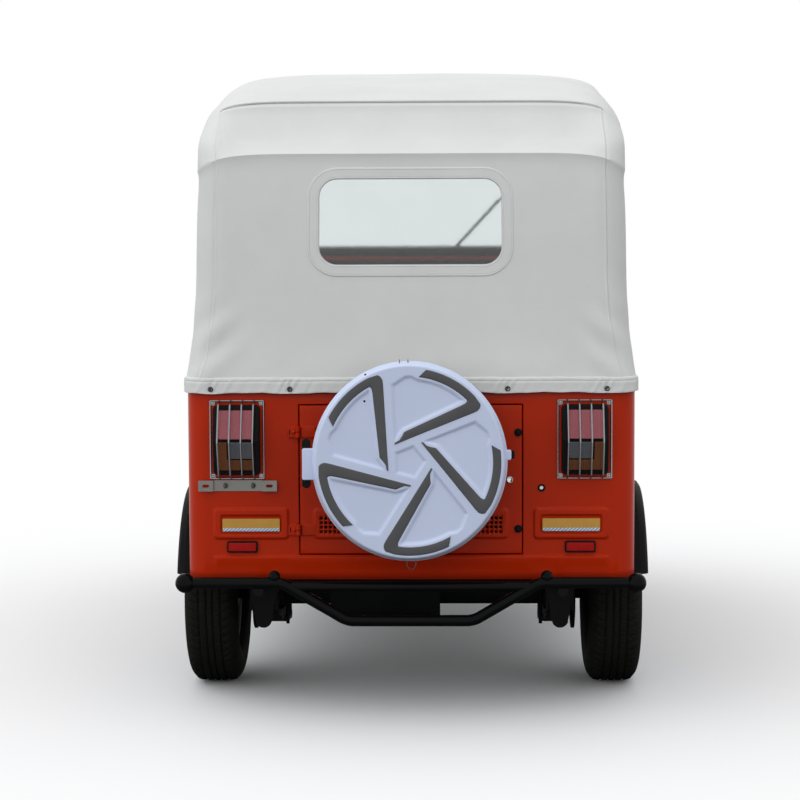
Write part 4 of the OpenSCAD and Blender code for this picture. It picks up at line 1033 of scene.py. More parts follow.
    def hem(self) -> bpy.types.Object:
        """Builds the hem: a doubled strip sewn along the foot of the sheet, which its snaps pull in.

        Each row of the section keeps a height and a distance out of the sheet. Slanting folds run out from
        each snap, sine waves that die away with distance, and the strip hangs lower at a snap than between two.
        A fold is given by its height, reach and wavelength over 2 pi in millimetres, and its phase.

        Returns:
            The hem.
        """
        section = np.array(self.hem_section) * MM
        v = self.rows_at(section[:, 0])
        plain = self.outline(self.level_rows(v), v, (2, 110, 170))
        x, y, z = plain[..., 0], plain[..., 1], plain[..., 2]
        around = np.where(y > self.rear_y + 0.05, y, x)
        folds = 0.7 * MM * np.sin(around * 43.0) * np.sin(around * 17.0 + 0.6)
        hang = np.zeros_like(x)
        for snap in self.snap_x:
            away = np.where(y > self.rear_y + 0.05, 1.0, x - snap)
            slant = away - 0.55 * (z - self.snap_z)
            for high, far, wave, phase in self.snap_folds:
                fading = np.exp(-np.abs(away) / (far * MM))
                folds = folds + high * MM * fading * np.sin(slant / (wave * MM) + phase)
            pulled = bell(np.hypot(away, z - self.snap_z), 0.0, self.snap_pull[1])
            folds = folds - self.snap_pull[0] * pulled
            hang = hang + bell(away, 0.0, 0.05)
        free = smoothstep(0.902, 0.892, z) * smoothstep(0.861, 0.864, z)
        lower = (section[0, 0] - z) / (section[0, 0] - section[-1, 0])
        lean = self.hem_lean * lower * smoothstep(self.rear_y + 0.04, self.rear_y + 0.01, y)
        points = self.lifted(plain, section[:, 1:] + folds * free + lean)
        points[..., 2] += lower * MM * (1.2 - 3.0 * hang + 0.6 * np.sin(around * 75.0))
        faces = grid_faces(*points.shape[:2])
        faces = faces[points.reshape(-1, 3)[faces, 1].mean(axis=1) < self.opening_y]
        return dress(mesh_piece("canopy_hem", points, faces, self.flat_uv(points)), CANVAS, Body.SHELL)

    def front_corners(self) -> bpy.types.Object:
        """Builds the strip that closes the canopy's front corners against the windscreen's frame.

        The frame's outline is a table of its inset and its share of the height. Both edges are read at equal
        shares of their own length, and the strip runs straight from one to the other.

        Returns:
            The strip.
        """
        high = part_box("windscreen_frame")[1]
        table = np.array(self.screen)
        frame = stacked(high.x - (table[:, 0] + 4) * MM,
                        self.screen_foot + table[:, 1] * (high.z - self.screen_foot))
        frame[-1, 0] = 0.0
        edge = self.sheet_points()[:, 0, ::2]
        edge = edge[edge[:, 1] >= self.valance_z - 1 * MM] - [0.0, 1 * MM]
        ends = [evenly(line, 70) for line in (edge, frame)]
        across = np.linspace(0.0, 1.0, 7)[None, :, None]
        flat = ends[0][:, None] + (ends[1] - ends[0])[:, None] * across
        y = self.front_at(flat[..., 1]) - 2 * MM - 6 * MM * across[..., 0]
        right = stacked(flat[..., 0], y, flat[..., 1])
        points = np.concatenate([right, (right * [-1.0, 1.0, 1.0])[-2::-1]])
        strip = mesh_piece("canopy_front_corners", *grid(points), self.flat_uv(points))
        thicken(strip, 2 * MM)
        return dress(strip, CANVAS, Body.SHELL)

    def rear_at(self, z: Array) -> Array:
        """Place of the sheet amid the rear at a height below the crease.

        Args:
            z: Heights.

        Returns:
            Places along Y.
        """
        v = np.linspace(0.0, self.crease_level, 400)
        rows = self.level_rows(v)
        return np.interp(z, rows[:, 2], rows[:, 1]) + self.tuck_at(z)

    def window_border(self) -> bpy.types.Object:
        """Builds the sewn border of the window: a flat band with rolled edges and two lines of stitching.

        Returns:
            The border.
        """
        width, height, radius, middle = self.window
        profile = np.array([
            [0, -3], [1, 1], [3, 2.6], [5, 2.5], [6, 1.4], [7, 2.4], [16, 2.2], [25, 2.4], [26, 1.4], [27, 2.5],
            [30, 2.5], [31.4, 1.2], [32, -2],
        ]) * MM
        loops = np.stack([rounded_loop(width + 2 * s, height + 2 * s, radius + s, 16) for s in profile[:, 0]])
        x, z = loops[..., 0], loops[..., 1] + middle
        points = stacked(x, self.rear_at(z) - profile[:, 1:], z)
        border = mesh_piece("window_border", *grid(points, wrap=True), stacked(x, z))
        return dress(border, CANVAS, Body.SHELL)

    def window_pane(self) -> None:
        """Builds the pane of clear vinyl, which follows the sheet with faint long waves."""
        width, height, _, middle = self.window
        x, z = np.meshgrid(np.linspace(-0.5, 0.5, 61) * (width + 20 * MM),
                           np.linspace(-0.5, 0.5, 31) * (height + 20 * MM) + middle)
        wave = 0.5 * MM * np.sin(x * 23.0 + 1.0) * np.sin(z * 31.0)
        pane = mesh_piece("rear_window_vinyl", *grid(stacked(x, self.rear_at(z) + 1.5 * MM + wave, z)))
        thicken(pane, 1 * MM)
        dress(pane, CLEAR_VINYL, Body.SHELL, "rear_window")

    def snaps(self) -> bpy.types.Object:
        """Builds the plated snap caps along the hem: a ring, a dished cap and a centre dot.

        Returns:
            All caps as one piece.
        """
        r = self.snap_r
        profile = np.array([
            [0.0, 2.6], [1.2, 2.4], [1.8, 0.6], [3.6, 0.2], [4.4, 3.2], [5.8, 3.8], [7.2, 2.4], [7.6, -2.0],
        ]) * [r / 7.5, -MM]
        y = self.rear_at(np.array([self.snap_z]))[0] - self.hem_lean
        parts = [lathe(profile, (x, y, self.snap_z), 1, 28) for x in self.snap_x]
        return weld("hem_snaps", parts, BLACK_NICKEL, Body.SHELL)


@dataclass
class BodyTub:
    """The sheet-metal tub: both side walls, the round rear corners and the rear sheet, pressed as one skin."""

    wall: float = 25 * MM
    corner: float = 60 * MM
    door: Rect = (0.0, 629 * MM, 597 * MM, 403 * MM)
    pad: Rect = (427 * MM, 511.5 * MM, 202 * MM, 85 * MM)
    recess: Rect = (427 * MM, 509 * MM, 166 * MM, 54 * MM)
    press: float = 5.5 * MM
    slope: float = 5.5 * MM
    band_z: float = 427 * MM
    lean_z: float = 843 * MM
    hang: float = 9 * MM
    pad_corner: float = 12 * MM
    recess_corner: float = 9 * MM
    lean_h: float = 37 * MM
    lean_in: float = 5 * MM
    amid: tuple[float, float] = (532 * MM, 518 * MM)
    fade: tuple[float, float] = (55 * MM, 6 * MM)
    step: float = 14 * MM
    arch: tuple[float, float, float] = (-803 * MM, 254 * MM, 303 * MM)

    def relief(self, x: Array, z: Array) -> Array:
        """How far the rear sheet is pressed out: the two pads with their recesses, and the lower band.

        Args:
            x: Places across.
            z: Heights.

        Returns:
            Heights of the relief in metres.
        """
        pads = smoothstep(-1 * MM, self.slope, inside_round(np.abs(x), z, self.pad, self.pad_corner))
        sunk = smoothstep(-1 * MM, self.slope, inside_round(np.abs(x), z, self.recess, self.recess_corner))
        amid = smoothstep(*self.amid, np.abs(x))
        band = smoothstep(self.band_z, self.band_z - self.slope, z) * amid
        band *= smoothstep(self.band_z - self.fade[0], self.band_z - self.fade[1], z)
        lean = np.clip((z - self.lean_z) / self.lean_h, 0.0, 1.0) * amid
        edge = np.clip(1.0 + inside_round(x, z, self.door, 6 * MM) / (2 * MM), 0.0, 1.0)
        return self.press * (pads - sunk + band) - self.lean_in * lean - 1 * MM * edge**2

    def build(self) -> None:
        """Builds the skin on a grid that runs along the walls in plan, open at the door and the wheel arches.

        Where a side wall's column passes a wheel arch, its rows are drawn together above the arch's circle.
        """
        low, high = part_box("quarter_panels")
        half, rear, front = high.x, low.y, high.y
        flat = half - self.corner
        x_edges = [self.door[2] / 2] + [b[0] + s * b[2] / 2 for b in (self.pad, self.recess) for s in SIDES]
        rear_x = fine_lines(-flat, flat, self.step, x_edges + [-e for e in x_edges])
        reach = math.sqrt(self.arch[2] ** 2 - (low.z - self.arch[1]) ** 2)
        side_y = np.linspace(front, rear + self.corner, 90)
        side_y = np.unique(np.append(side_y, [self.arch[0] - reach, self.arch[0] + reach]))[::-1]
        turn = np.linspace(0.0, math.pi / 2, 14)[1:-1]
        right = np.concatenate([
            stacked(half, side_y),
            stacked(flat + self.corner * np.cos(turn), rear + self.corner * (1.0 - np.sin(turn))),
        ])
        plan = np.concatenate([right, stacked(rear_x[::-1], rear), (right * [-1.0, 1.0])[::-1]])
        z_edges = [b[1] + s * b[3] / 2 for b in (self.door, self.pad, self.recess) for s in SIDES]
        z = fine_lines(low.z, high.z, self.step, z_edges + [self.band_z, self.lean_z])
        points = np.empty((len(z), len(plan), 3))
        points[..., :2] = plan
        axle_y, axle_z, arch_r = self.arch
        rise = axle_z + np.sqrt(np.clip(arch_r**2 - (plan[:, 1] - axle_y) ** 2, 0.0, None))
        foot = np.where(np.abs(plan[:, 0]) > half - 1 * MM, np.maximum(low.z, rise), low.z)
        points[..., 2] = high.z - (high.z - z[:, None]) * (high.z - foot) / (high.z - low.z)
        points[0, :, 2] -= self.hang * smoothstep(rear + 2 * self.corner, rear + self.corner, points[0, :, 1])
        behind = points[..., 1] < rear + 1e-6
        points[..., 1] -= np.where(behind, self.relief(points[..., 0], points[..., 2]), 0.0)
        faces = grid_faces(len(z), len(plan))
        centre = points.reshape(-1, 3)[faces].mean(axis=1)
        doorway = inside_round(centre[:, 0], centre[:, 2], self.door, 0.1 * MM) > 0
        doorway &= centre[:, 1] < rear + 0.02
        tub = mesh_piece("body_tub_sheet", points, faces[~doorway])
        thicken(tub, self.wall)
        dress(tub, ENAMEL, Body.SHELL, "rear_panel", "quarter_panels")


@dataclass
class RearDoor:
    """The rear door's pressed sheet, with its raised vent pad and two grids of square holes."""

    wall: float = 25 * MM
    spread: Vector = field(default_factory=lambda: Vector((2 * MM, 0.0, 2 * MM)))
    pad: Rect = (0.0, 512 * MM, 522 * MM, 84 * MM)
    press: float = 5.5 * MM
    slope: float = 5.5 * MM
    vent: tuple[float, float] = (197 * MM, 508 * MM)
    hole: float = 8 * MM
    pitch: float = 12 * MM
    cols: int = 8
    rows: int = 4
    pad_corner: float = 14 * MM
    corner: float = 6 * MM
    fold: float = 2.5 * MM
    step: float = 16 * MM

    def build(self) -> None:
        """Builds the sheet on a grid whose lines pass along every hole's edges."""
        low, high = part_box("rear_door")
        rear = high.y - self.wall
        across = (np.arange(self.cols) - (self.cols - 1) / 2) * self.pitch
        upward = (np.arange(self.rows) - (self.rows - 1) / 2) * self.pitch
        side = np.array([-self.hole / 2, self.hole / 2])
        hole_x = (across[:, None] + side).ravel() + self.vent[0]
        hole_z = (upward[:, None] + side).ravel() + self.vent[1]
        low, high = low - self.spread, high + self.spread
        near = np.linspace(0.0, self.fold, 4)
        border_x = np.concatenate([low.x + near, high.x - near])
        border_z = np.concatenate([low.z + near, high.z - near])
        pad_x = fine_lines(low.x, high.x, self.step, [s * self.pad[2] / 2 for s in SIDES])
        pad_z = fine_lines(low.z, high.z, self.step, [self.pad[1] + s * self.pad[3] / 2 for s in SIDES])
        x = np.unique(np.round(np.concatenate([pad_x, border_x, hole_x, -hole_x]), 5))
        z = np.unique(np.round(np.concatenate([pad_z, border_z, hole_z]), 5))
        grid_x, grid_z = np.meshgrid(x, z)
        raised = smoothstep(-1 * MM, self.slope, inside_round(grid_x, grid_z, self.pad, self.pad_corner))
        frame = ((low.x + high.x) / 2, (low.z + high.z) / 2, high.x - low.x, high.z - low.z)
        edge = np.clip(1.0 - inside_round(grid_x, grid_z, frame, self.corner) / self.fold, 0.0, 1.0)
        y = rear - self.press * raised + 1.5 * MM * edge**2
        points, faces = grid(stacked(grid_x, y, grid_z))
        centre = points.reshape(-1, 3)[faces].mean(axis=1)
        from_x = np.abs(np.abs(centre[:, 0]) - self.vent[0])[:, None]
        in_x = (np.abs(from_x - np.abs(across)) < self.hole / 2).any(axis=1)
        in_z = (np.abs(centre[:, 2:] - self.vent[1] - upward) < self.hole / 2).any(axis=1)
        door = mesh_piece("rear_door_sheet", points, faces[~(in_x & in_z)])
        thicken(door, self.wall)
        dress(door, ENAMEL, Body.DOOR, "rear_door")


@dataclass
class SpareCover:
    """The moulded cover of the spare wheel: five raised bars in a pinwheel, sunken pockets and dark inlays.

    Turns are in degrees, anticlockwise as seen from the rear; plain lengths are shares of the radius.
    """

    arms: int = 5
    out_turn: float = 110.9
    first_corner: float = 38.6
    bar_far: float = 0.150
    bar_near: float = 0.222
    pocket_r: float = 0.836
    pocket_flare: tuple[float, float, float] = (0.031, 83.0, 89.0)
    pocket_depth: float = 6 * MM
    middle_share: float = 0.85
    slope: float = 10 * MM
    dome: float = 22 * MM
    dome_ring: tuple[float, float] = (0.94, 1.003)
    leg_places: tuple[float, ...] = (-0.735, -0.055, 0.07)
    leg_edges: tuple[float, ...] = (0.356, 0.311, 0.238)
    chamfer_turn: float = 122.7
    chamfer_reach: float = 0.7514
    arc_out: float = 0.937
    arc_in: float = 0.840
    arc_end: tuple[float, float] = (79.2, 84.1)
    inlay_lift: float = 2.0 * MM
    tall: float = 1.025
    step: float = field(init=False)
    radius: float = field(init=False)
    face_y: float = field(init=False)
    lip: float = field(init=False)
    middle_z: float = field(init=False)

    def __post_init__(self) -> None:
        """Reads the cover's place from the frame."""
        low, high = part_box("spare_cover")
        self.step = 360.0 / self.arms
        self.radius = (high.z - low.z) / 2
        self.face_y = low.y
        self.lip = high.y - low.y
        self.middle_z = (low.z + high.z) / 2

    def arm_axes(self, k: int) -> tuple[Array, Array]:
        """Directions of an arm: along its straight leg towards the middle, and out from the middle.

        Args:
            k: Number of the arm, counted anticlockwise as seen from the rear.

        Returns:
            The two unit vectors, as (x, z).
        """
        out = math.radians(self.out_turn + self.step * k)
        along = out + math.pi / 2
        return np.array([math.cos(along), math.sin(along)]), np.array([math.cos(out), math.sin(out)])

    def height(self, x: Array, z: Array) -> Array:
        """Height of the face above its rim, from 0 on the bars to minus the pocket's depth.

        A pocket lies inside the round edge, beyond its own arm's inlay, short of the next arm's bar and short
        of a chamfer between that bar and the edge; the distance to the nearest of these sets the slope.

        Args:
            x: Places across, from the middle, in shares of the radius.
            z: Places upwards, from the middle, in shares of the radius.

        Returns:
            Heights in metres.
        """
        r = np.hypot(x, z)
        soft = self.slope / self.radius
        flare, *flare_turns = self.pocket_flare
        sunk = np.zeros_like(x)
        middle = np.full_like(x, np.inf)
        for k in range(self.arms):
            along, out = self.arm_axes(k)
            _, out_next = self.arm_axes(k + 1)
            own = x * out[0] + z * out[1]
            run = x * along[0] + z * along[1]
            leg = np.interp(run, self.leg_places, self.leg_edges)
            turn = np.degrees(np.arctan2(z, x)) - self.step * k
            turn = (turn + 90.0) % 360.0 - 90.0
            wide = self.pocket_r + flare * smoothstep(*flare_turns, turn)
            chamfer = math.radians(self.chamfer_turn + self.step * k)
            edge = np.minimum.reduce([
                wide - r,
                own - leg,
                self.bar_far - (x * out_next[0] + z * out_next[1]),
                self.chamfer_reach - (x * math.cos(chamfer) + z * math.sin(chamfer)),
            ])
            sunk = np.maximum(sunk, smoothstep(0.0, soft, edge))
            middle = np.minimum(middle, self.bar_far - own)
        sunk = np.maximum(sunk, self.middle_share * smoothstep(0.0, soft, middle))
        return -self.pocket_depth * sunk - self.dome * smoothstep(*self.dome_ring, r) ** 2

    def build_shell(self) -> None:
        """Builds the face and its turned-back lip as one surface of rings."""
        rings = np.concatenate([np.linspace(0.0, 0.94, 100), np.linspace(0.945, 1.0, 12)]) * self.radius
        angle = circle(400)
        x, z = rings[:, None] * np.cos(angle), rings[:, None] * np.sin(angle)
        y = self.face_y - self.height(x / self.radius, z / self.radius)
        face = stacked(x, y, z * self.tall + self.middle_z)
        lip_r = np.array([1.0, 0.985, 0.985]) * self.radius
        lip_y = self.face_y + np.array([self.lip, self.lip, 0.026])
        lip = stacked(lip_r[:, None] * np.cos(angle), lip_y[:, None],
                      lip_r[:, None] * np.sin(angle) * self.tall + self.middle_z)
        plates = [grid(np.concatenate([face, lip]), wrap=True)]
        tab_y = self.face_y + self.lip - 2 * MM
        for place, size in (((-self.radius - 8 * MM, -7 * MM), (34 * MM, 82 * MM)),
                            ((self.radius + 1 * MM, 16 * MM), (18 * MM, 26 * MM))):
            foot = (place[0], tab_y, place[1] + self.middle_z)
            plates.append(rear_plate(foot, size, 5 * MM, 12 * MM, 2.5 * MM))
        weld("spare_cover_shell", plates, WHITE_ABS, Body.DOOR, "spare_cover")

    def inlay_edges(self, count: int) -> tuple[Array, Array]:
        """Outer and inner edge of the first inlay, from the end of its arc to the tip of its leg.

        Args:
            count: Points along each edge.

        Returns:
            The two edges, as (x, z) in shares of the radius.
        """
        along, out = self.arm_axes(0)
        corner = math.radians(self.first_corner)

        def arc(radius: float, start: float, end: float) -> Array:
            """Points of an arc around the cover's middle."""
            a = np.linspace(start, end, 60)[:, None]
            return radius * np.concatenate([np.cos(a), np.sin(a)], axis=1)

        def leg(places: Sequence[tuple[float, float]]) -> Array:
            """Points given along and out from an arm."""
            return np.array([s * along + t * out for s, t in places])

        outer = np.concatenate([
            arc(self.arc_out, math.radians(self.arc_end[0]), corner + 0.10),
            leg([(-0.885, 0.275), (-0.868, 0.245), (-0.835, 0.226), (-0.79, self.bar_near), (0.075, 0.216)]),
        ])
        inner = np.concatenate([
            arc(self.arc_in, math.radians(self.arc_end[1]), corner + 0.15),
            leg([(-0.755, 0.392), (-0.75, 0.368), (-0.728, 0.355), (-0.055, 0.311), (-0.02, 0.275),
                 (0.015, 0.245), (0.07, 0.236)]),
        ])
        return evenly(outer, count), evenly(inner, count)

    def build_inlays(self) -> None:
        """Builds the five inlays: a band between two edges with a rolled section."""
        outer, inner = self.inlay_edges(110)
        across = np.array([0.0, 0.02, 0.06, 0.14, 0.5, 0.74, 0.86, 0.93, 1.0])
        lift = np.array([-1.0, 0.2, 0.75, 1.0, 1.0, 0.9, 0.4, -0.7, -3.2]) * self.inlay_lift
        flat = outer[None] + (inner - outer)[None] * across[:, None, None]
        parts = []
        for k in range(self.arms):
            turn = math.radians(self.step * k)
            spin = np.array([[math.cos(turn), math.sin(turn)], [-math.sin(turn), math.cos(turn)]])
            place = flat @ spin * self.radius
            height = place[..., 1] * self.tall + self.middle_z
            parts.append(grid(stacked(place[..., 0], self.face_y - lift[:, None], height)))
        weld("spare_cover_inlays", parts, GREY_ABS, Body.DOOR, "cover_inlays")


@dataclass
class RearBumper:
    """The bent-tube bumper with its end balls, domes and arms."""

    tube_r: float = 15 * MM
    bar_r: float = 13 * MM
    arm_r: float = 14 * MM
    ball_r: float = 26 * MM
    end_r: float = 23 * MM
    dome_r: float = 16 * MM
    low_z: float = 269 * MM
    rise: float = 100 * MM
    bend: float = 70 * MM
    bend_x: tuple[float, float] = (337 * MM, 165 * MM)
    bar_x: float = 312 * MM
    bar_drop: float = 10 * MM
    dome_x: float = 357 * MM
    arm: tuple[float, float] = (400 * MM, 347 * MM)

    def build(self) -> None:
        """Builds the tubes, balls, domes and arms as one welded piece."""
        low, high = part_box("rear_bumper")
        y = low.y + self.end_r
        end_x = high.x - self.end_r
        z = self.low_z + self.rise
        right = [(end_x, y, z), (self.bend_x[0], y, z), (self.bend_x[1], y, self.low_z)]
        left = [(-a, b, c) for a, b, c in reversed(right)]
        bar = np.linspace(*((s * self.bar_x, y, z - self.bar_drop) for s in SIDES), 6)
        parts = [
            tube(bent_path(right + left, self.bend, 12), self.tube_r, (0.0, 1.0, 0.0), 28),
            tube(bar, self.bar_r, (0.0, 1.0, 0.0), 28),
        ]
        polar = np.linspace(0.0, math.pi, 18)
        for x, radius, up in ((end_x, self.ball_r, 0.0), (self.dome_x, self.dome_r, self.tube_r + 2 * MM)):
            profile = stacked(np.sin(polar), -np.cos(polar)) * radius
            parts += [lathe(profile, (s * x, y, z + up), 2, 32) for s in SIDES]
        for s in SIDES:
            arm = np.linspace(*((s * self.arm[0], end, self.arm[1]) for end in (y, high.y)), 4)
            parts.append(tube(arm, self.arm_r, (0.0, 0.0, 1.0), 16))
        weld("bumper_tubes", parts, POWDER_BLACK, Body.SHELL, "rear_bumper")


@dataclass
class RoadTyre:
    """A road tyre: moulded sidewalls, ribs, blocks and sipes cut into the tread.

    The section's columns are the radius as a share of the way from bead to tread, and the half width as a share.
    Places across the tread are shares of the half width too; a sipe has its lean and its width.
    """

    name: str
    node: str
    body: Body
    axis: int
    around: int
    section: tuple[tuple[float, float], ...] = (
        (0.0, 0.46), (0.0, 0.58), (0.099, 0.58), (0.15, 0.82), (0.3, 0.96), (0.5, 1.0), (0.75, 0.93),
        (0.9, 0.79), (0.97, 0.68), (1.0, 0.4),
    )
    rim_r: float = 152.5 * MM
    blocks: int = 64
    groove: float = 6.0 * MM
    tread_edge: tuple[float, float] = (0.80, 0.74)
    tread_from: float = 80 * MM
    ribs: tuple[float, ...] = (0.12, 0.40)
    rib_w: float = 0.035
    sipe: tuple[float, float] = (1.6, 0.1)
    fine_sipe: tuple[float, float] = (2.2, 0.12)
    ring: tuple[float, float, float] = (0.8 * MM, 30 * MM, 2 * MM)

    def profile(self) -> tuple[Array, Array]:
        """Reads the section at fine steps from one bead over the tread to the other.

        Returns:
            Radius and place across, in metres.
        """
        low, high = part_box(self.node)
        size = np.array(high - low)
        tread_r = size[(self.axis + 1) % 3] / 2
        half = size[self.axis] / 2
        table = np.array(self.section)
        knots = np.arange(len(table), dtype=float)
        at = np.concatenate([knots[:2], np.linspace(2.0, knots[-1], 30)])
        fine = monotone(knots, table, at)
        right = stacked(self.rim_r + fine[:, 0] * (tread_r - self.rim_r), fine[:, 1] * half)
        crown = np.linspace(right[-1, 1], -right[-1, 1], 26)[1:-1]
        both = np.concatenate([right, stacked(tread_r, crown), right[::-1] * [1.0, -1.0]])
        return both[:, 0], both[:, 1]

    def build(self) -> None:
        """Builds the tyre with grooves cut inwards from the tread and rings on its walls."""
        low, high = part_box(self.node)
        centre = np.array(low + high) / 2
        radius, place = self.profile()
        half = float(np.abs(place).max())
        angle = circle(self.around)
        across = (place / half)[:, None]
        turn = (angle / (2.0 * math.pi) * self.blocks)[None, :]
        tread = smoothstep(*self.tread_edge, np.abs(across)) * (radius > self.rim_r + self.tread_from)[:, None]
        ribs = np.maximum.reduce([bell(np.abs(across), c, self.rib_w) for c in self.ribs])
        slant = (turn + np.abs(across) * self.sipe[0]) % 1.0
        sipes = bell(slant, 0.5, self.sipe[1]) * smoothstep(0.38, 0.5, np.abs(across))
        sipes = sipes + 0.5 * bell((turn * 2.0 - across * self.fine_sipe[0]) % 1.0, 0.5, self.fine_sipe[1])
        depth = self.groove * tread * np.maximum(ribs, np.clip(sipes, 0.0, 1.0) * 0.8)
        rings = self.ring[0] * bell(radius - self.rim_r, *self.ring[1:])[:, None]
        points = np.empty((len(radius), self.around, 3))
        points[..., self.axis] = place[:, None] - np.sign(place)[:, None] * rings
        points[..., (self.axis + 1) % 3] = (radius[:, None] - depth) * np.cos(angle)
        points[..., (self.axis + 2) % 3] = (radius[:, None] - depth) * np.sin(angle)
        weld(self.name, [grid(points + centre, wrap=True)], RUBBER, self.body, self.node)


@dataclass
class TailLamps:
    """The ridged tail lamps with their lenses, and the wire guards around them."""

    width: float = 124 * MM
    height: float = 186 * MM
    edge: float = 18 * MM
    wire_r: float = 2.5 * MM
    wire_pitch: float = 31 * MM
    guard: tuple[float, float] = (142 * MM, 208 * MM)
    reach: float = 68 * MM
    middle: float = field(init=False)
    rear_y: float = field(init=False)
    middle_z: float = field(init=False)

    def __post_init__(self) -> None:
        """Reads the lamps' place from the frame."""
        low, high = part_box("tail_lamps")
        self.middle = high.x - self.width / 2
        self.rear_y = high.y
        self.middle_z = (low.z + high.z) / 2

    def build(self) -> None:
        """Rounds the housings and the lenses, and builds the guards."""
        softened("tail_lamps", 3 * MM, POLYPROPYLENE, Body.SHELL)
        for node, finish in (("tail_lenses", RED_ACRYLIC), ("reverse_lenses", CLEAR_ACRYLIC),
                             ("turn_lenses", AMBER_ACRYLIC)):
            softened(node, 2 * MM, finish, Body.SHELL)
        self.guards()

    def guards(self) -> None:
        """Builds the guards: a flat frame with corner feet and screws, and four wires bent over the ridge."""
        half_w, half_h = self.guard[0] / 2, self.guard[1] / 2
        y, z = self.rear_y - self.wire_r, self.middle_z
        parts = []
        for side in SIDES:
            x = side * self.middle
            for s in SIDES:
                flat = [(x - half_w, y, z + s * half_h), (x + half_w, y, z + s * half_h)]
                upright = [(x + s * half_w, y, z - half_h), (x + s * half_w, y, z + half_h)]
                for ends in (flat, upright):
                    parts.append(tube(np.linspace(*ends, 4), self.wire_r, (0.0, 1.0, 0.0), 12))
                for t in SIDES:
                    foot = (x + s * (half_w - 6 * MM), self.rear_y, z + t * (half_h - 6 * MM))
                    parts.append(rear_plate(foot, (13 * MM, 13 * MM), 4 * MM, 2 * MM, 0.6 * MM))
                    parts.append(rear_plate(foot, (8 * MM, 8 * MM), 3.9 * MM, 4.5 * MM, 2 * MM))
            for i in (-1.5, -0.5, 0.5, 1.5):
                at = x + i * self.wire_pitch
                knee_y, knee_z = self.rear_y - self.edge - 16 * MM, self.height / 2 + 2 * MM
                wire = [(at, y, z + half_h), (at, knee_y, z + knee_z), (at, self.rear_y - self.reach, z),
                        (at, knee_y, z - knee_z), (at, y, z - half_h)]
                parts.append(tube(bent_path(wire, 12 * MM, 8), self.wire_r, (1.0, 0.0, 0.0), 12))
        weld("lamp_guard_wires", parts, STAINLESS, Body.SHELL, "lamp_guards")


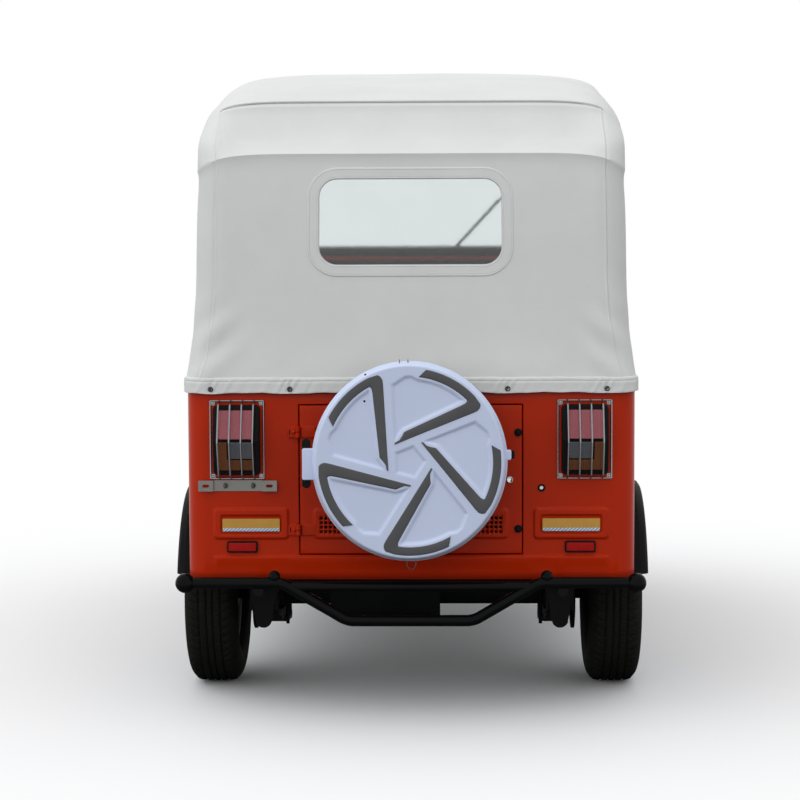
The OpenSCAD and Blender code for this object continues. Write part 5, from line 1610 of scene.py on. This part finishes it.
@dataclass
class RearFittings:
    """Small fittings of the rear: trim plates, reflectors, buffers, locks, bolts, hinges and the cover's clips."""

    plate: tuple[float, float] = (154 * MM, 34 * MM)
    strip_h: float = 8.5 * MM
    lens: tuple[float, float] = (73 * MM, 22 * MM)
    buffer: tuple[tuple[float, float], ...] = ((286 * MM, 755 * MM), (286 * MM, 497 * MM))
    door_lock: tuple[float, float] = (264 * MM, 629 * MM)
    key_lock: tuple[float, float] = (348 * MM, 607 * MM)
    bolt_x: tuple[float, float] = (-495 * MM, -421 * MM)
    # Two black discs in the cover's pockets, as painted shade of small holes: across and upwards from the cover's
    # middle, and depth behind its face, in millimetres.
    cover_hole_shade: tuple[tuple[float, float, float], ...] = ((-112, 225, 5.5), (-115, 157, 6))
    wire_r: float = 1.0 * MM
    knuckle_r: float = 7 * MM

    def trim(self) -> None:
        """Builds the blank trim plates, each with a printed strip along its lower edge."""
        low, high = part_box("badge_plates")
        x, z = high.x - self.plate[0] / 2, (low.z + high.z) / 2
        thick = high.y - low.y
        strip_z = low.z + self.strip_h / 2
        strip = (self.plate[0] - 3 * MM, self.strip_h)
        plates = [rear_plate((s * x, high.y, z), self.plate, 3 * MM, thick, 1.2 * MM) for s in SIDES]
        strips = [rear_plate((s * x, low.y + 1 * MM, strip_z), strip, 1 * MM, 1.4 * MM, 0.3 * MM) for s in SIDES]
        weld("trim_plates", plates, GOLD, Body.SHELL, "badge_plates")
        weld("trim_strips", strips, HATCH, Body.SHELL)

    def reflectors(self) -> None:
        """Builds the reflectors: a black tray and a red lens in it."""
        low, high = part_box("rear_reflectors")
        width, height, z = 82 * MM, high.z - low.z, (low.z + high.z) / 2
        x = high.x - width / 2
        trays = [rear_plate((s * x, high.y, z), (width, height), 5 * MM, 8 * MM, 2 * MM) for s in SIDES]
        lenses = [rear_plate((s * x, high.y - 6 * MM, z), self.lens, 2 * MM, 4 * MM, 1.2 * MM) for s in SIDES]
        weld("reflector_trays", trays, POLYPROPYLENE, Body.SHELL)
        weld("reflector_lenses", lenses, REFLECTOR_ACRYLIC, Body.SHELL, "rear_reflectors")

    @staticmethod
    def turned(profile: Sequence[tuple[float, float]], place: tuple[float, float], y: float) -> Shape:
        """A small turned part that faces the rear.

        Args:
            profile: Radius and height above its foot, in millimetres, from the middle of its face outwards.
            place: Where it stands, across and upwards.
            y: Where its foot is.

        Returns:
            Vertices and faces.
        """
        return lathe(np.array(profile) * [MM, -MM], (place[0], y, place[1]), 1, 32)

    def locks(self) -> None:
        """Builds the door's buffers and lock, the key lock beside the door and the bracket's bolts."""
        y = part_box("quarter_panels")[0].y
        cover_low, cover_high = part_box("spare_cover")
        middle, radius = (cover_low.z + cover_high.z) / 2, (cover_high.z - cover_low.z) / 2
        back = cover_high.y + 4 * MM
        button = ((0, 9), (4, 8.8), (8, 7.4), (10.4, 4), (10.6, 0), (10.6, -2))
        ring = ((0, 1.5), (3.4, 1.5), (3.6, 4), (5.2, 4.4), (6, 5), (7.6, 5), (9.4, 3), (9.6, -2))
        rim = ((4.6, -2), (4.6, 3), (6, 4.2), (8, 4.2), (10, 2), (10.2, -2))
        core = ((0, 3), (2.4, 2.8), (3, 2), (3, 1), (4.6, 1), (4.6, -2))
        bolt = ((0, 6), (2.4, 5.8), (4.4, 4.6), (5.2, 3), (5.6, 1.6), (8, 1.4), (8, 0))
        dot = ((0, 0.6), (2.6, 0.6), (3, 0.2), (3, -1))
        black = [self.turned(button, place, y) for place in self.buffer]
        # Black discs in the cover's pockets: painted shade standing in for two small holes.
        black += [self.turned(dot, (a * MM, middle + b * MM), cover_low.y + c * MM) for a, b, c in self.cover_hole_shade]
        for foot, size, corner in (
            ((-radius - 15 * MM, back, middle - 6 * MM), (22 * MM, 128 * MM), 10 * MM),
            ((radius + 13 * MM, back, middle + 16 * MM), (12 * MM, 22 * MM), 4 * MM),
        ):
            black.append(rear_plate(foot, size, corner, 6 * MM, 2 * MM))
        weld("door_buffers", black, POLYPROPYLENE, Body.DOOR, "door_fittings")
        weld("door_lock", [self.turned(ring, self.door_lock, y)], CHROME, Body.DOOR)
        weld("key_lock_rim", [self.turned(rim, self.key_lock, y)], POLYPROPYLENE, Body.SHELL)
        weld("key_lock_core", [self.turned(core, self.key_lock, y)], CHROME, Body.SHELL)
        low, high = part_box("plate_bracket")
        bolts = [self.turned(bolt, (x, (low.z + high.z) / 2), high.y - 5 * MM) for x in self.bolt_x]
        weld("bracket_bolts", bolts, BLACK_NICKEL, Body.SHELL)

    def clips(self) -> None:
        """Builds the wire loop under the spare wheel's cover and the clip above it."""
        low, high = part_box("spare_cover")
        middle, radius = (low.z + high.z) / 2, (high.z - low.z) / 2
        y = high.y - 12 * MM
        foot = middle - radius
        loop = [(-6 * MM, y, foot + 6 * MM), (-8 * MM, y, foot - 16 * MM), (4 * MM, y, foot - 40 * MM),
                (16 * MM, y, foot - 16 * MM), (14 * MM, y, foot + 6 * MM)]
        parts = [tube(bent_path(loop, 9 * MM, 8), self.wire_r, (0.0, 1.0, 0.0), 8)]
        top = middle + radius * SpareCover.tall
        for x in (-25 * MM, -3 * MM):
            leg = np.linspace((x, low.y + 14 * MM, top - 7 * MM), (x, low.y + 20 * MM, top + 4 * MM), 4)
            parts.append(tube(leg, self.wire_r, (1.0, 0.0, 0.0), 8))
        weld("cover_clips", parts, BLACK_NICKEL, Body.DOOR)

    def hinges(self) -> None:
        """Builds the hinges: a leaf with its rivet and half the knuckle on the body, the rest on the door."""
        low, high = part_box("hinge_leaves")
        pin = (low.x + 24 * MM, low.y + self.knuckle_r)
        door_low, door_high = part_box("door_hinges")
        rivet = ((0, 5), (2.6, 4.6), (4.6, 2.6), (5.4, 0))
        barrel = np.array([[0, 0], [5.6, 0], [7, 1.4], [7, 13.1], [5.6, 14.5], [0, 14.5]]) * MM
        slot, shell, door = [], [], []
        for z in (door_low.z + 15 * MM, door_high.z - 15 * MM):
            shell.append(rear_plate((pin[0] - 15 * MM, high.y, z), (24 * MM, 31 * MM), 4 * MM, 6 * MM, 2.4 * MM))
            shell.append(self.turned(rivet, (pin[0] - 11 * MM, z), high.y - 6 * MM))
            # A thin black plate on each body leaf: painted shade standing in for the leaf's slot.
            cut = (pin[0] - 22 * MM, high.y - 5.6 * MM, z)
            slot.append(rear_plate(cut, (3 * MM, 14 * MM), 1.4 * MM, 0.8 * MM, 0.2 * MM))
            door.append(rear_plate((pin[0] + 28 * MM, high.y, z), (40 * MM, 31 * MM), 4 * MM, 6 * MM, 2.4 * MM))
            for parts, foot in ((shell, z - 15 * MM), (door, z + 0.5 * MM)):
                parts.append(lathe(barrel, (*pin, foot), 2, 28))
        weld("hinge_leaf_plates", shell, ENAMEL, Body.SHELL, "hinge_leaves")
        # The black slot plates are painted shade of the slots' hollows.
        weld("hinge_slots", slot, POLYPROPYLENE, Body.SHELL)
        weld("hinge_straps", door, ENAMEL, Body.DOOR, "door_hinges")

    def build(self) -> None:
        """Builds every fitting."""
        self.trim()
        self.reflectors()
        self.locks()
        self.clips()
        self.hinges()


@dataclass
class SeatPad:
    """A stuffed vinyl pad: a rounded block puffed by cloth pressure, with sewn channels."""

    name: str
    node: str
    channels: int
    upright: bool
    shrink: float = 9 * MM
    power: int = 8
    counts: tuple[int, int] = (49, 96)
    voxel: float = 12 * MM
    cap: float = 12 * MM
    pressure: float = 4.0
    frames: int = 20
    seam_w: float = 14 * MM
    seam_depth: float = 9 * MM
    inside: float = 0.5 * MM

    def block(self) -> bpy.types.Object:
        """Builds the plain block as a superellipsoid, with |x|^n + |y|^n + |z|^n = 1 and n its power.

        Returns:
            The block.
        """
        low, high = (np.array(c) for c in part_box(self.node))
        half = (high - low) / 2 - self.shrink
        u = np.linspace(-math.pi / 2, math.pi / 2, self.counts[0])[:, None]
        w = np.linspace(-math.pi, math.pi, self.counts[1], endpoint=False)[None, :]
        direction = stacked(np.cos(u) * np.cos(w), np.cos(u) * np.sin(w), np.sin(u))
        size = (np.abs(direction) ** self.power).sum(axis=-1, keepdims=True) ** (1 / self.power)
        points = direction / size * half + (low + high) / 2
        return mesh_piece(self.name, *grid(points, wrap=True))

    def simulate(self, pad: bpy.types.Object) -> None:
        """Swells the pad by cloth pressure, with each point's movement capped.

        Args:
            pad: The remeshed block.
        """
        scene = bpy.context.scene
        before = coordinates(pad.data)
        cloth = pad.modifiers.new("stuffing", "CLOTH")
        cloth.settings.use_pressure = True
        cloth.settings.uniform_pressure_force = self.pressure
        cloth.settings.effector_weights.gravity = 0.0
        for frame in range(1, self.frames + 1):
            scene.frame_set(frame)
        swollen = pad.evaluated_get(bpy.context.evaluated_depsgraph_get()).to_mesh()
        moved = coordinates(swollen) - before
        far = np.linalg.norm(moved, axis=1, keepdims=True)
        kept = before + moved * np.minimum(1.0, self.cap / np.maximum(far, 1e-9))
        pad.modifiers.remove(cloth)
        scene.frame_set(1)
        pad.data.vertices.foreach_set("co", kept.ravel())

    def sew(self, pad: bpy.types.Object) -> None:
        """Presses the sewn channels into the pad and keeps it inside its solid's box.

        Args:
            pad: The swollen pad.
        """
        low, high = (np.array(c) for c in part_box(self.node))
        points = coordinates(pad.data)
        size = high - low
        share = (points[:, 0] - low[0]) / size[0] * self.channels
        seam = np.round(share)
        groove = bell((share - seam) * size[0] / self.channels, 0.0, self.seam_w)
        groove *= (seam > 0.5) * (seam < self.channels - 0.5)
        axis = 1 if self.upright else 2
        away = points[:, axis] - (low + high)[axis] / 2
        face = smoothstep(0.5, 0.9, np.abs(away) / (size[axis] / 2))
        points[:, axis] -= np.sign(away) * face * groove * self.seam_depth
        points = np.clip(points, low + self.inside, high - self.inside)
        pad.data.vertices.foreach_set("co", points.ravel())

    def build(self) -> None:
        """Builds the pad: remeshed, swollen by cloth pressure and sewn."""
        pad = self.block()
        remesh = pad.modifiers.new("even_faces", "REMESH")
        remesh.mode = "VOXEL"
        remesh.voxel_size = self.voxel
        even = bpy.data.meshes.new_from_object(pad.evaluated_get(bpy.context.evaluated_depsgraph_get()))
        pad.modifiers.clear()
        pad.data = even
        self.simulate(pad)
        self.sew(pad)
        smooth_shading(pad.data, 80.0)
        finer = pad.modifiers.new("smooth_skin", "SUBSURF")
        finer.levels = finer.render_levels = 1
        dress(pad, SEAT_VINYL, Body.SHELL, self.node)


@dataclass
class Studio:
    """The camera of the photograph's view, a pale floor and soft light."""

    focal_px: float = 2075.0
    frame_px: float = 800.0
    sensor: float = 36.0
    distance: float = 5.5
    height: float = 1.239
    pitch: float = 4.13
    roll: float = 0.22
    offset_px: float = 10.5
    side: float = 0.105
    sky: float = 1.15
    sky_lean: float = 0.3
    sky_tint: tuple[float, ...] = (0.97, 0.985, 1.0, 1.0)
    fade: tuple[float, float] = (1.0, 3.4)
    floor_half: float = 30.0
    floor_colour: str = "F0F0F0"
    floor_bounce: str = "5C5C5C"

    def camera(self) -> None:
        """Places the camera straight behind the vehicle, level with the rear window's foot."""
        data = bpy.data.cameras.new("photo_view")
        data.sensor_width = self.sensor
        data.lens = self.focal_px / self.frame_px * self.sensor
        data.shift_x = -self.offset_px / self.frame_px
        data.clip_end = 2 * self.floor_half
        camera = bpy.data.objects.new("photo_view", data)
        camera.location = (self.side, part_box("quarter_panels")[0].y - self.distance, self.height)
        tilt = Euler((math.radians(90.0 - self.pitch), 0.0, math.atan2(self.side, self.distance))).to_matrix()
        camera.rotation_euler = (tilt @ Matrix.Rotation(-math.radians(self.roll), 3, "Z")).to_euler()
        bpy.context.scene.collection.objects.link(camera)
        bpy.context.scene.camera = camera

    @staticmethod
    def shown(tree: bpy.types.NodeTree) -> Socket:
        """Tells, as 1 or 0, whether a ray shows the background: from the camera, a mirror or through glass.

        Args:
            tree: The node tree that asks.

        Returns:
            The answer.
        """
        ray = add_node(tree, "ShaderNodeLightPath")
        mirror = add_node(tree, "ShaderNodeMath", {"operation": "MAXIMUM"},
                          {0: ray.outputs["Is Glossy Ray"], 1: ray.outputs["Is Transmission Ray"]})
        every = add_node(tree, "ShaderNodeMath", {"operation": "MAXIMUM"},
                         {0: ray.outputs["Is Camera Ray"], 1: mirror.outputs[0]})
        return every.outputs[0]

    def world(self) -> None:
        """Lights the scene like an overcast sky, a little brighter from the left, in front of plain white."""
        world = bpy.data.worlds.new("studio")
        bpy.context.scene.world = world
        world.use_nodes = True
        tree = world.node_tree
        tree.nodes.clear()
        place = add_node(tree, "ShaderNodeTexCoord")
        parts = add_node(tree, "ShaderNodeSeparateXYZ", links={0: place.outputs["Generated"]})
        power = add_node(tree, "ShaderNodeMapRange",
                         {"From Min": -1.0, "To Min": self.sky * (1.0 + self.sky_lean),
                          "To Max": self.sky * (1.0 - self.sky_lean)}, {"Value": parts.outputs["X"]})
        light = add_node(tree, "ShaderNodeBackground", {"Color": self.sky_tint},
                         {"Strength": power.outputs[0]})
        white = add_node(tree, "ShaderNodeBackground", {"Color": (1.0, 1.0, 1.0, 1.0), "Strength": 1.0})
        mix = add_node(tree, "ShaderNodeMixShader",
                       links={0: self.shown(tree), 1: light.outputs[0], 2: white.outputs[0]})
        add_node(tree, "ShaderNodeOutputWorld", links={"Surface": mix.outputs[0]})

    def floor(self) -> None:
        """Lays the pale floor, which keeps the vehicle's soft shadow and fades to plain white away from it."""
        edge = [-self.floor_half, self.floor_half]
        x, y = np.meshgrid(edge, edge)
        floor = mesh_piece("studio_floor", *grid(stacked(x, y, 0.0)))
        material = bpy.data.materials.new("studio_floor_paint")
        material.use_nodes = True
        tree = material.node_tree
        tree.nodes.clear()
        place = add_node(tree, "ShaderNodeTexCoord")
        far = add_node(tree, "ShaderNodeVectorMath", {"operation": "LENGTH"}, {0: place.outputs["Object"]})
        share = add_node(tree, "ShaderNodeMapRange",
                         {"From Min": self.fade[0], "From Max": self.fade[1], "interpolation_type": "SMOOTHSTEP"},
                         {"Value": far.outputs["Value"]})
        ray = add_node(tree, "ShaderNodeLightPath")
        seen = add_node(tree, "ShaderNodeMath", {"operation": "MULTIPLY"},
                        {0: share.outputs[0], 1: self.shown(tree)})
        tint = add_node(tree, "ShaderNodeMix",
                        {"data_type": "RGBA", 6: srgb(self.floor_bounce), 7: srgb(self.floor_colour)},
                        {0: ray.outputs["Is Camera Ray"]})
        paint = add_node(tree, "ShaderNodeBsdfDiffuse", links={"Color": tint.outputs[2]})
        white = add_node(tree, "ShaderNodeEmission", {"Color": (1.0, 1.0, 1.0, 1.0), "Strength": 1.0})
        mix = add_node(tree, "ShaderNodeMixShader",
                       links={0: seen.outputs[0], 1: paint.outputs[0], 2: white.outputs[0]})
        add_node(tree, "ShaderNodeOutputMaterial", links={"Surface": mix.outputs[0]})
        floor.data.materials.append(material)

    def build(self) -> None:
        """Sets up the whole studio."""
        bpy.context.scene.view_settings.view_transform = "Standard"
        self.camera()
        self.world()
        self.floor()


def finish_solids(nodes: dict[str, bpy.types.Object]) -> None:
    """Gives every solid that stays its own finish.

    Args:
        nodes: The frame's solids by name.
    """
    for finish, names in CAD_FINISHES.items():
        for name in names:
            nodes[name].data.materials.clear()
            nodes[name].data.materials.append(finish.make())


def main() -> None:
    """Builds the looks piece by piece around the frame."""
    logging.basicConfig(level=logging.INFO, format="%(name)s: %(message)s")
    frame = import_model()
    Studio().build()
    finish_solids(frame["nodes"])
    for node, width, finish in (("nose_shell", 4 * MM, ENAMEL), ("side_sills", 4 * MM, ENAMEL),
                                ("fender_flares", 2 * MM, POLYPROPYLENE)):
        softened(node, width, finish, Body.SHELL)
    BodyTub().build()
    RearDoor().build()
    canopy = Canopy()
    sheet = canopy.build()
    trimmings = [canopy.hem(), canopy.front_corners(), canopy.window_border(), canopy.snaps()]
    canopy.window_pane()
    cover = SpareCover()
    cover.build_shell()
    cover.build_inlays()
    RearBumper().build()
    TailLamps().build()
    RearFittings().build()
    for node, body, axis, around in (
        ("front_tyre", Body.FRONT_WHEEL, 0, 480), ("rear_tyre_left", Body.LEFT_WHEEL, 0, 480),
        ("rear_tyre_right", Body.RIGHT_WHEEL, 0, 480), ("spare_tyre", Body.DOOR, 1, 256),
    ):
        RoadTyre(f"{node}_rubber", node, body, axis, around).build()
    for node, channels, upright in (("driver_cushion", 2, False), ("driver_backrest", 2, True),
                                    ("bench_cushion", 4, False), ("bench_backrest", 4, True)):
        SeatPad(f"{node}_vinyl", node, channels, upright).build()


if __name__ == "__main__":
    main()
